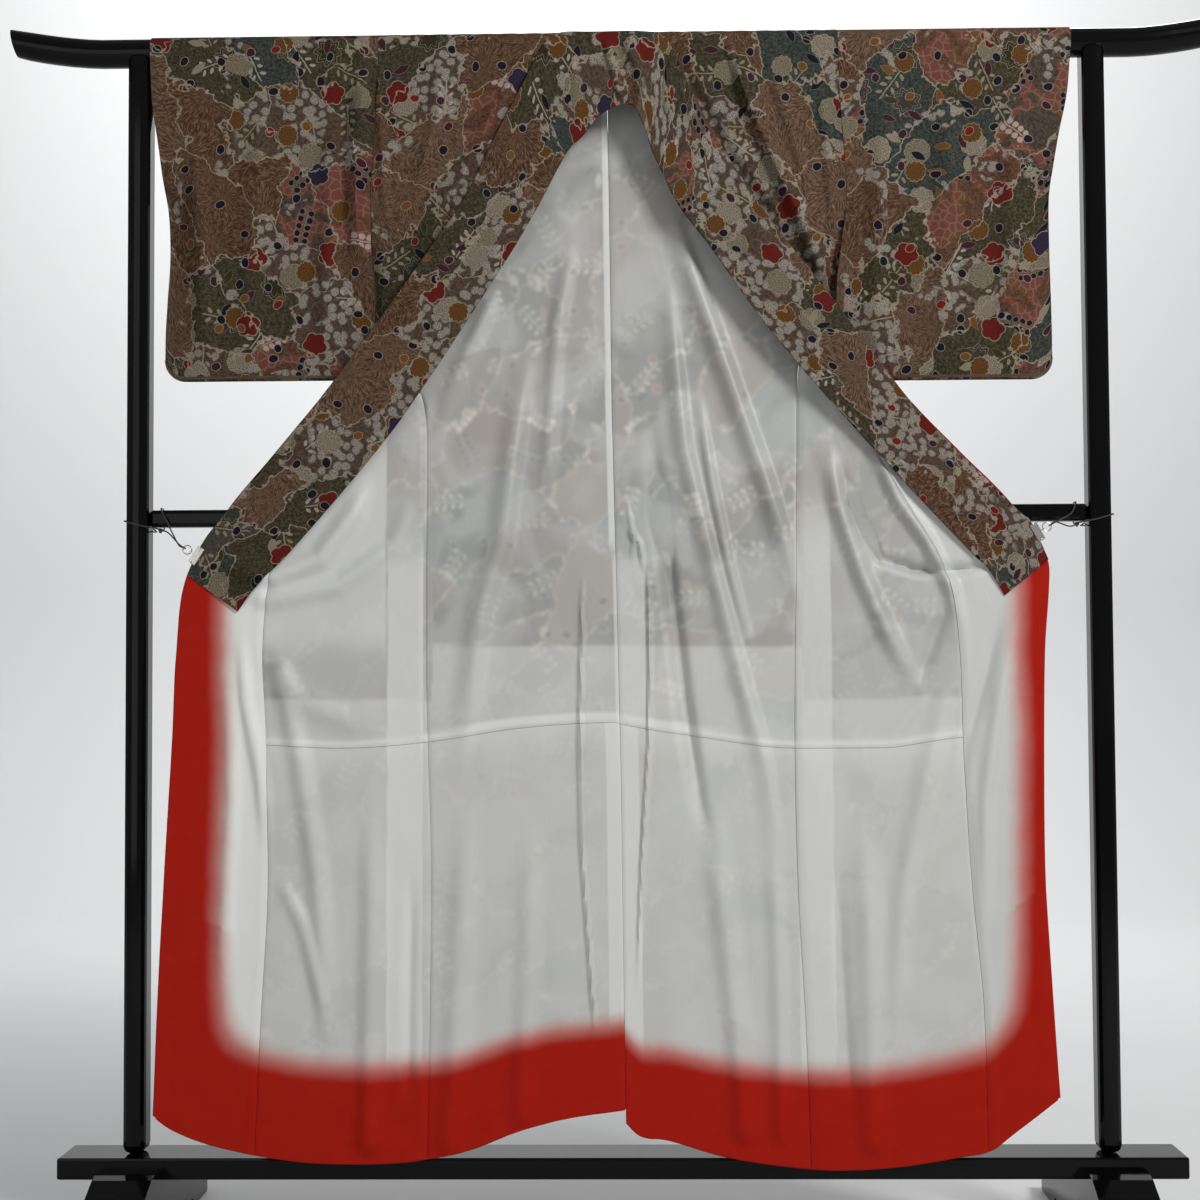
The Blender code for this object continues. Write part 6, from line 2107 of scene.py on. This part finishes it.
@dataclass
class HemRoll:
    """The narrow red roll of the hem lining that stands out past the outer silk at hem and front edge.

    Args:
        side: The half of the garment.
        radius: The roll's radius.
        behind: How far it lies behind the middle of the cloth.
    """

    side: Side
    radius: float = 0.0016
    behind: float = 0.0002

    def edge_path(self) -> Array:
        """Return the roll's path: up the front edge from the hem, nearly to the collar's end."""
        front = Front(self.side)
        levels = np.linspace(HEM_LEVEL, 0.985, 160)
        out, forward = front.okumi(levels, np.ones(levels.shape))
        return hanging(self.side, out, forward, levels, False)

    def hem_path(self) -> Array:
        """Return the roll's path along the hem from the centre seam to the front edge."""
        front = Front(self.side)
        centre = self.side.value * float(centre_x(np.array(HEM_LEVEL)))
        side = float(front.column(np.array(HEM_LEVEL), "side"))
        levels = np.full(70, HEM_LEVEL)
        back = hanging(self.side, np.linspace(centre + 0.001, side, 70), back_forward(levels), levels, False)
        runs = [back]
        for lie, count in ((front.lie, 60), (front.okumi, 40)):
            levels = np.full(count, HEM_LEVEL)
            out, forward = lie(levels, np.linspace(0.0, 1.0, count))
            runs.append(hanging(self.side, out, forward, levels, False)[2:])
        return np.concatenate(runs)

    def dress(self, red: bpy.types.Material) -> None:
        """Build the roll in two runs, along the hem and up the front edge."""
        hem = through(self.hem_path()[::4], 0.006)
        edge = through(self.edge_path()[::5], 0.007)
        for word, path in (("hem", hem), ("edge", edge)):
            path[:, 1] += self.behind
            piece = tube(f"hem_roll_{word}_{self.side.word}", path, self.radius, red, 8)
            layer = piece.data.attributes.new("dye", "FLOAT", "POINT")
            layer.data.foreach_set("value", np.ones(len(piece.data.vertices), dtype=np.float32))
            settle(piece, "hakkake_red")


class RunningStitch:
    """Hand stitches along the garment's seams, made by one tree of geometry nodes."""

    def __init__(self, thread: bpy.types.Material) -> None:
        """Build the tree once.

        Args:
            thread: The thread's material.
        """
        self.thread = thread
        self.tree = bpy.data.node_groups.new("running_stitch", "GeometryNodeTree")
        face = self.tree.interface
        face.new_socket("Seam", in_out="INPUT", socket_type="NodeSocketGeometry")
        self.pitch, self.length, self.size = (
            face.new_socket(word, in_out="INPUT", socket_type="NodeSocketFloat")
            for word in ("Stitch pitch", "Stitch length", "Thread radius"))
        face.new_socket("Stitches", in_out="OUTPUT", socket_type="NodeSocketGeometry")
        source = self.node("NodeGroupInput")
        result = self.node("NodeGroupOutput")
        resample = self.node("GeometryNodeResampleCurve", mode="LENGTH")
        stitch = self.node("GeometryNodeMeshCylinder")
        stitch.inputs["Vertices"].default_value = 6
        tangent = self.node("GeometryNodeInputTangent")
        align = self.node("FunctionNodeAlignRotationToVector", axis="Z")
        uneven = self.node("FunctionNodeRandomValue", data_type="FLOAT")
        uneven.inputs["Min"].default_value = 0.8
        uneven.inputs[3].default_value = 1.15
        uneven.inputs["Seed"].default_value = 7
        place = self.node("GeometryNodeInstanceOnPoints")
        real = self.node("GeometryNodeRealizeInstances")
        finish = self.node("GeometryNodeSetMaterial")
        finish.inputs["Material"].default_value = thread
        for start, output, end, entry in (
            (source, "Seam", resample, "Curve"),
            (source, "Stitch pitch", resample, "Length"),
            (source, "Thread radius", stitch, "Radius"),
            (source, "Stitch length", stitch, "Depth"),
            (tangent, "Tangent", align, "Vector"),
            (resample, "Curve", place, "Points"),
            (stitch, "Mesh", place, "Instance"),
            (align, "Rotation", place, "Rotation"),
            (uneven, "Value", place, "Scale"),
            (place, "Instances", real, "Geometry"),
            (real, "Geometry", finish, "Geometry"),
            (finish, "Geometry", result, "Stitches"),
        ):
            self.tree.links.new(start.outputs[output], end.inputs[entry])

    def node(self, kind: str, **settings: object) -> bpy.types.Node:
        """Add a node with its own settings to the tree."""
        node = self.tree.nodes.new(kind)
        for word, value in settings.items():
            setattr(node, word, value)
        return node

    def sew(self, name: str, paths: Sequence[Array], pitch: float, length: float, radius: float,
            slot: str) -> bpy.types.Object:
        """Sew stitches along paths.

        Args:
            name: The piece's name.
            paths: The seams' points.
            pitch: The way from stitch to stitch.
            length: One stitch's length.
            radius: The thread's radius.
            slot: The record's material slot; not used.

        Returns:
            The stitches as one mesh.
        """
        curve = bpy.data.curves.new(f"{name}_seam", "CURVE")
        curve.dimensions = "3D"
        for path in paths:
            line = curve.splines.new("POLY")
            line.points.add(len(path) - 1)
            flat = np.concatenate((path, np.ones((len(path), 1))), axis=1)
            line.points.foreach_set("co", flat.ravel())
        seam = bpy.data.objects.new(f"{name}_seam", curve)
        bpy.context.scene.collection.objects.link(seam)
        modifier = seam.modifiers.new("stitches", "NODES")
        modifier.node_group = self.tree
        modifier[self.pitch.identifier] = pitch
        modifier[self.length.identifier] = length
        modifier[self.size.identifier] = radius
        graph = bpy.context.evaluated_depsgraph_get()
        graph.update()
        mesh = bpy.data.meshes.new_from_object(seam.evaluated_get(graph))
        mesh.name = name
        seam.modifiers.clear()
        bpy.data.objects.remove(seam)
        piece = dress(mesh, name, self.thread)
        return settle(piece, slot)


@dataclass
class Stitching:
    """The stitches that show on the open garment.

    Args:
        low: The lowest level of the stitches beside the upright seams.
        spacing: The way between the points of their paths.
        off: How far in front of the middle of the cloth they lie.
    """

    low: float = 0.30
    spacing: float = 0.01
    off: float = 0.0017

    def upright(self, side: Side) -> list[Array]:
        """Return the paths beside the centre seam, the side seam and the okumi seam of one half."""
        front = Front(side)
        paths = []
        for seam, high in (("centre", 1.55), ("side", 1.14), ("okumi", 1.12)):
            levels = np.linspace(self.low, high, int((high - self.low) / self.spacing))
            forward = back_forward(levels)
            if seam == "centre":
                out = side.value * centre_x(levels) + 0.0030
            elif seam == "side":
                out = front.column(levels, "side") - 0.0035
            else:
                out, forward = front.okumi(levels, np.zeros(levels.shape))
                out = out + 0.0030
            paths.append(hanging(side, out, forward, levels, False))
        return paths

    def waist(self, side: Side, count: int = 40) -> Array:
        """Return the path above the waist seam of one half of the back."""
        levels = np.full(count, WAIST_LEVEL)
        out = np.linspace(0.010, float(Front(side).column(np.array(WAIST_LEVEL), "side")) - 0.004, count)
        return hanging(side, out, back_forward(levels), waist_shifted(side, out, levels) + 0.003, False)

    def dress(self, white_thread: bpy.types.Material) -> None:
        """Sew the lining's seams on both halves."""
        paths = [path for side in Side for path in (*self.upright(side), self.waist(side))]
        for path in paths:
            path[:, 1] -= self.off
        RunningStitch(white_thread).sew("lining_stitches", paths, pitch=0.0048, length=0.0021, radius=0.00022,
                                        slot="lining_silk")


class ClipPlace(NamedTuple):
    """Where a clip grips the collar's edge, and how it is turned."""

    out: float
    height: float
    turn: float
    forward: float


CLIPS = {
    Side.LEFT: ClipPlace(0.5925, 0.9570, math.radians(33), 0.0297),
    Side.RIGHT: ClipPlace(0.5890, 0.9820, math.radians(28.6), 0.0291),
}


@dataclass
class ClipTie:
    """One clip with its ring, and the cord that ties the ring to the mid rail and the post.

    Args:
        side: The half of the garment.
        ring_radius: The ring's radius to the middle of its wire.
        wire: The wire's radius.
        cord: The cord's radius.
        ring_out: The way from the clip's place to the ring's middle.
    """

    side: Side
    ring_radius: float = 0.0062
    wire: float = 0.0009
    cord: float = 0.0010
    ring_out: float = 0.0147

    def frame(self) -> tuple[Array, Array, Array, Array]:
        """Return the clip's place and its directions along the jaws, outwards and forwards."""
        clip = CLIPS[self.side]
        sign = self.side.value
        place = np.array((sign * clip.out, -clip.forward, clip.height))
        outwards = np.array((sign * math.cos(clip.turn), 0.0, math.sin(clip.turn)))
        along = np.array((-sign * math.sin(clip.turn), 0.0, math.cos(clip.turn)))
        return place, along, outwards, np.array((0.0, -1.0, 0.0))

    def route(self) -> Array:
        """Return the cord's points as the solid has them, closer together."""
        sign = self.side.value
        place, _, outwards, forwards = self.frame()
        wire = place + outwards * (self.ring_out + self.ring_radius)
        beside = self.wire + self.cord + 0.0003
        bend = [wire + outwards * 4 * beside - forwards * 1.5 * beside, wire - forwards * 1.5 * beside,
                wire - outwards * 1.3 * beside, wire + forwards * 1.5 * beside,
                wire + outwards * 4 * beside + forwards * 1.5 * beside]
        first = [(sign * point.out, -point.forward, point.height) for point in CORD_TO_RING]
        last = [(sign * point.out, -point.forward, point.height) for point in CORD_FROM_RING]
        return through([*first, *bend, *last], 0.0016)

    def dress(self, cord: bpy.types.Material, brass: bpy.types.Material) -> None:
        """Build the cord, its knot and the clip's brass ends."""
        word = self.side.word
        path = self.route()
        piece = tube(f"braided_tie_{word}", path, self.cord, cord, 10)
        settle(piece, "black_cord", f"tie_cord_{word}")
        self.knot(path[0], cord, f"tie_knot_{word}")
        self.rivets(brass)

    def knot(self, place: Array, cord: bpy.types.Material, name: str) -> None:
        """Build a small tight knot where the cord's end is tied round its own run."""
        turn = np.linspace(0.0, 2 * math.pi, 64, endpoint=False)
        size = 0.00125
        loop = np.stack((size * (np.sin(turn) + 2 * np.sin(2 * turn)) * 0.75,
                         size * -np.sin(3 * turn) * 1.1,
                         size * (np.cos(turn) - 2 * np.cos(2 * turn)) * 0.75), axis=1)
        piece = tube(name, place + loop, self.cord * 0.92, cord, 8, closed=True)
        settle(piece, "black_cord")

    def rivets(self, brass: bpy.types.Material) -> None:
        """Build the brass end of each jaw."""
        place, along, outwards, forwards = self.frame()
        bm = bmesh.new()
        for end in (-1.0, 1.0):
            middle = place + along * end * 0.0118 - outwards * 0.0012 + forwards * 0.0041
            matrix = Matrix((Vector(along), Vector(outwards), Vector(forwards))).transposed().to_4x4()
            matrix.translation = Vector(middle)
            made = bmesh.ops.create_uvsphere(bm, u_segments=20, v_segments=10, radius=0.0016)
            for vertex in made["verts"]:
                vertex.co.z *= 0.45
                vertex.co = matrix @ vertex.co
        for face in bm.faces:
            face.smooth = True
        mesh = bpy.data.meshes.new(f"clip_rivets_{self.side.word}")
        bm.to_mesh(mesh)
        bm.free()
        settle(dress(mesh, f"clip_rivets_{self.side.word}", brass), "clip_steel")


@dataclass
class KimonoRack:
    """The lacquered rack and the metal of the clips, which keep their solids' shapes."""

    nodes: dict[str, bpy.types.Object]

    def finish(self, words: Sequence[str], material: bpy.types.Material) -> None:
        """Give a material to every solid whose name starts with one of the words."""
        for name, node in self.nodes.items():
            if name.startswith(tuple(words)):
                node.data.materials.clear()
                node.data.materials.append(material)
                LOG.info("%s: %s", name, material.name)


@dataclass
class Studio:
    """The camera at the photograph's place, the pale paper and the soft lights.

    Args:
        eye: The camera's place.
        yaw: Its turn to the right in degrees.
        pitch: Its tilt up in degrees.
        roll: Its roll in degrees.
        lens: Its focal length in millimetres on a 36 mm sensor.
    """

    eye: tuple[float, float, float] = (0.0364, -2.9365, 0.7562)
    yaw: float = -1.182
    pitch: float = 2.645
    roll: float = -0.311
    lens: float = 62.28

    def camera(self) -> None:
        """Set up the camera."""
        yaw, pitch, roll = (math.radians(angle) for angle in (self.yaw, self.pitch, self.roll))
        ahead = Vector((math.sin(yaw) * math.cos(pitch), math.cos(yaw) * math.cos(pitch), math.sin(pitch)))
        level = Vector((math.cos(yaw), -math.sin(yaw), 0.0))
        above = level.cross(ahead)
        right = level * math.cos(roll) + above * math.sin(roll)
        up = right.cross(ahead)
        data = bpy.data.cameras.new("view")
        data.lens = self.lens
        data.sensor_width = 36.0
        data.clip_end = 50.0
        eye = bpy.data.objects.new("view", data)
        matrix = Matrix((right, up, -ahead)).transposed().to_4x4()
        matrix.translation = Vector(self.eye)
        eye.matrix_world = matrix
        bpy.context.scene.collection.objects.link(eye)
        bpy.context.scene.camera = eye

    def light(self, name: str, place: Sequence[float], aim: Sequence[float], size: float,
              power: float) -> None:
        """Set up one soft square light that looks at a point."""
        data = bpy.data.lights.new(name, "AREA")
        data.shape = "SQUARE"
        data.size = size
        data.energy = power
        lamp = bpy.data.objects.new(name, data)
        lamp.location = place
        lamp.rotation_euler = (Vector(aim) - Vector(place)).to_track_quat("-Z", "Y").to_euler()
        bpy.context.scene.collection.objects.link(lamp)

    def paper(self, finish: bpy.types.Material) -> None:
        """Build the floor and the wall behind as one sweep of paper."""
        profile = [(-30.0, 0.0)]
        profile += [(4.2 + 1.2 * math.sin(angle), 1.2 - 1.2 * math.cos(angle))
                    for angle in np.linspace(0.0, math.pi / 2, 13)]
        profile.append((5.4, 14.0))
        bm = bmesh.new()
        rows = [[bm.verts.new((x, y, z - 0.0006)) for x in (-30.0, 30.0)] for y, z in profile]
        for low, high in zip(rows, rows[1:]):
            face = bm.faces.new((low[0], low[1], high[1], high[0]))
            face.smooth = True
        mesh = bpy.data.meshes.new("studio_sweep")
        bm.to_mesh(mesh)
        bm.free()
        dress(mesh, "studio_sweep", finish)

    def build(self, finish: bpy.types.Material) -> None:
        """Set up the camera, the paper, the lights and the pale room."""
        self.camera()
        self.paper(finish)
        self.light("key", (2.3, -2.7, 3.3), (0.0, 0.0, 1.0), 1.1, 128.0)
        self.light("fill", (-2.2, -3.4, 1.4), (0.0, 0.0, 0.9), 2.4, 20.0)
        self.light("wall", (-0.4, 2.6, 5.0), (-0.2, 5.4, 3.3), 2.2, 200.0)
        self.light("back", (1.6, 3.7, 3.7), (0.0, 0.0, 1.2), 1.4, 34.0)
        world = bpy.data.worlds.new("room")
        world.use_nodes = True
        shade = world.node_tree.nodes["Background"]
        shade.inputs["Color"].default_value = (0.94, 0.97, 1.0, 1.0)
        shade.inputs["Strength"].default_value = 0.26
        bpy.context.scene.world = world
        bpy.context.scene.view_settings.view_transform = "Standard"


def main() -> None:
    """Build every piece in order."""
    logging.basicConfig(level=logging.INFO, format="%(name)s: %(message)s")
    silk = KomonSilk().make()
    white = LiningSilk("lining_silk_white").make()
    dyed_silk = LiningSilk("hem_lining_dyed").make()
    lacquer = Lacquer().make()
    steel = ClipMetal("clip_steel_plated", (0.62, 0.60, 0.54)).make()
    brass = ClipMetal("clip_brass", (0.62, 0.43, 0.17)).make()
    cord = Thread("tie_cord_black", (0.010, 0.010, 0.012), 0.0032).make()
    thread = Thread("sewing_thread_white", (0.62, 0.61, 0.58), 0.0009).make()

    Studio().build(StudioPaper().make())
    rack = KimonoRack(frame["nodes"])
    rack.finish(["rack_"], lacquer)
    rack.finish(["clip_"], steel)
    for side in Side:
        ClipTie(side).dress(cord, brass)
        BodyCloth(side).dress(silk)
        OkumiCloth(side).dress(silk, dyed_silk)
        LiningCloth(side, Part.BACK, BACK_LINING_TOP).dress(white, dyed_silk)
        LiningCloth(side, Part.FRONT, FRONT_LINING_TOP[side]).dress(white, dyed_silk)
        SleeveCloth(side).dress(silk, dyed_silk)
        HemRoll(side).dress(dyed_silk)
    CollarBand().dress(silk)
    Stitching().dress(thread)


if __name__ == "__main__":
    main()
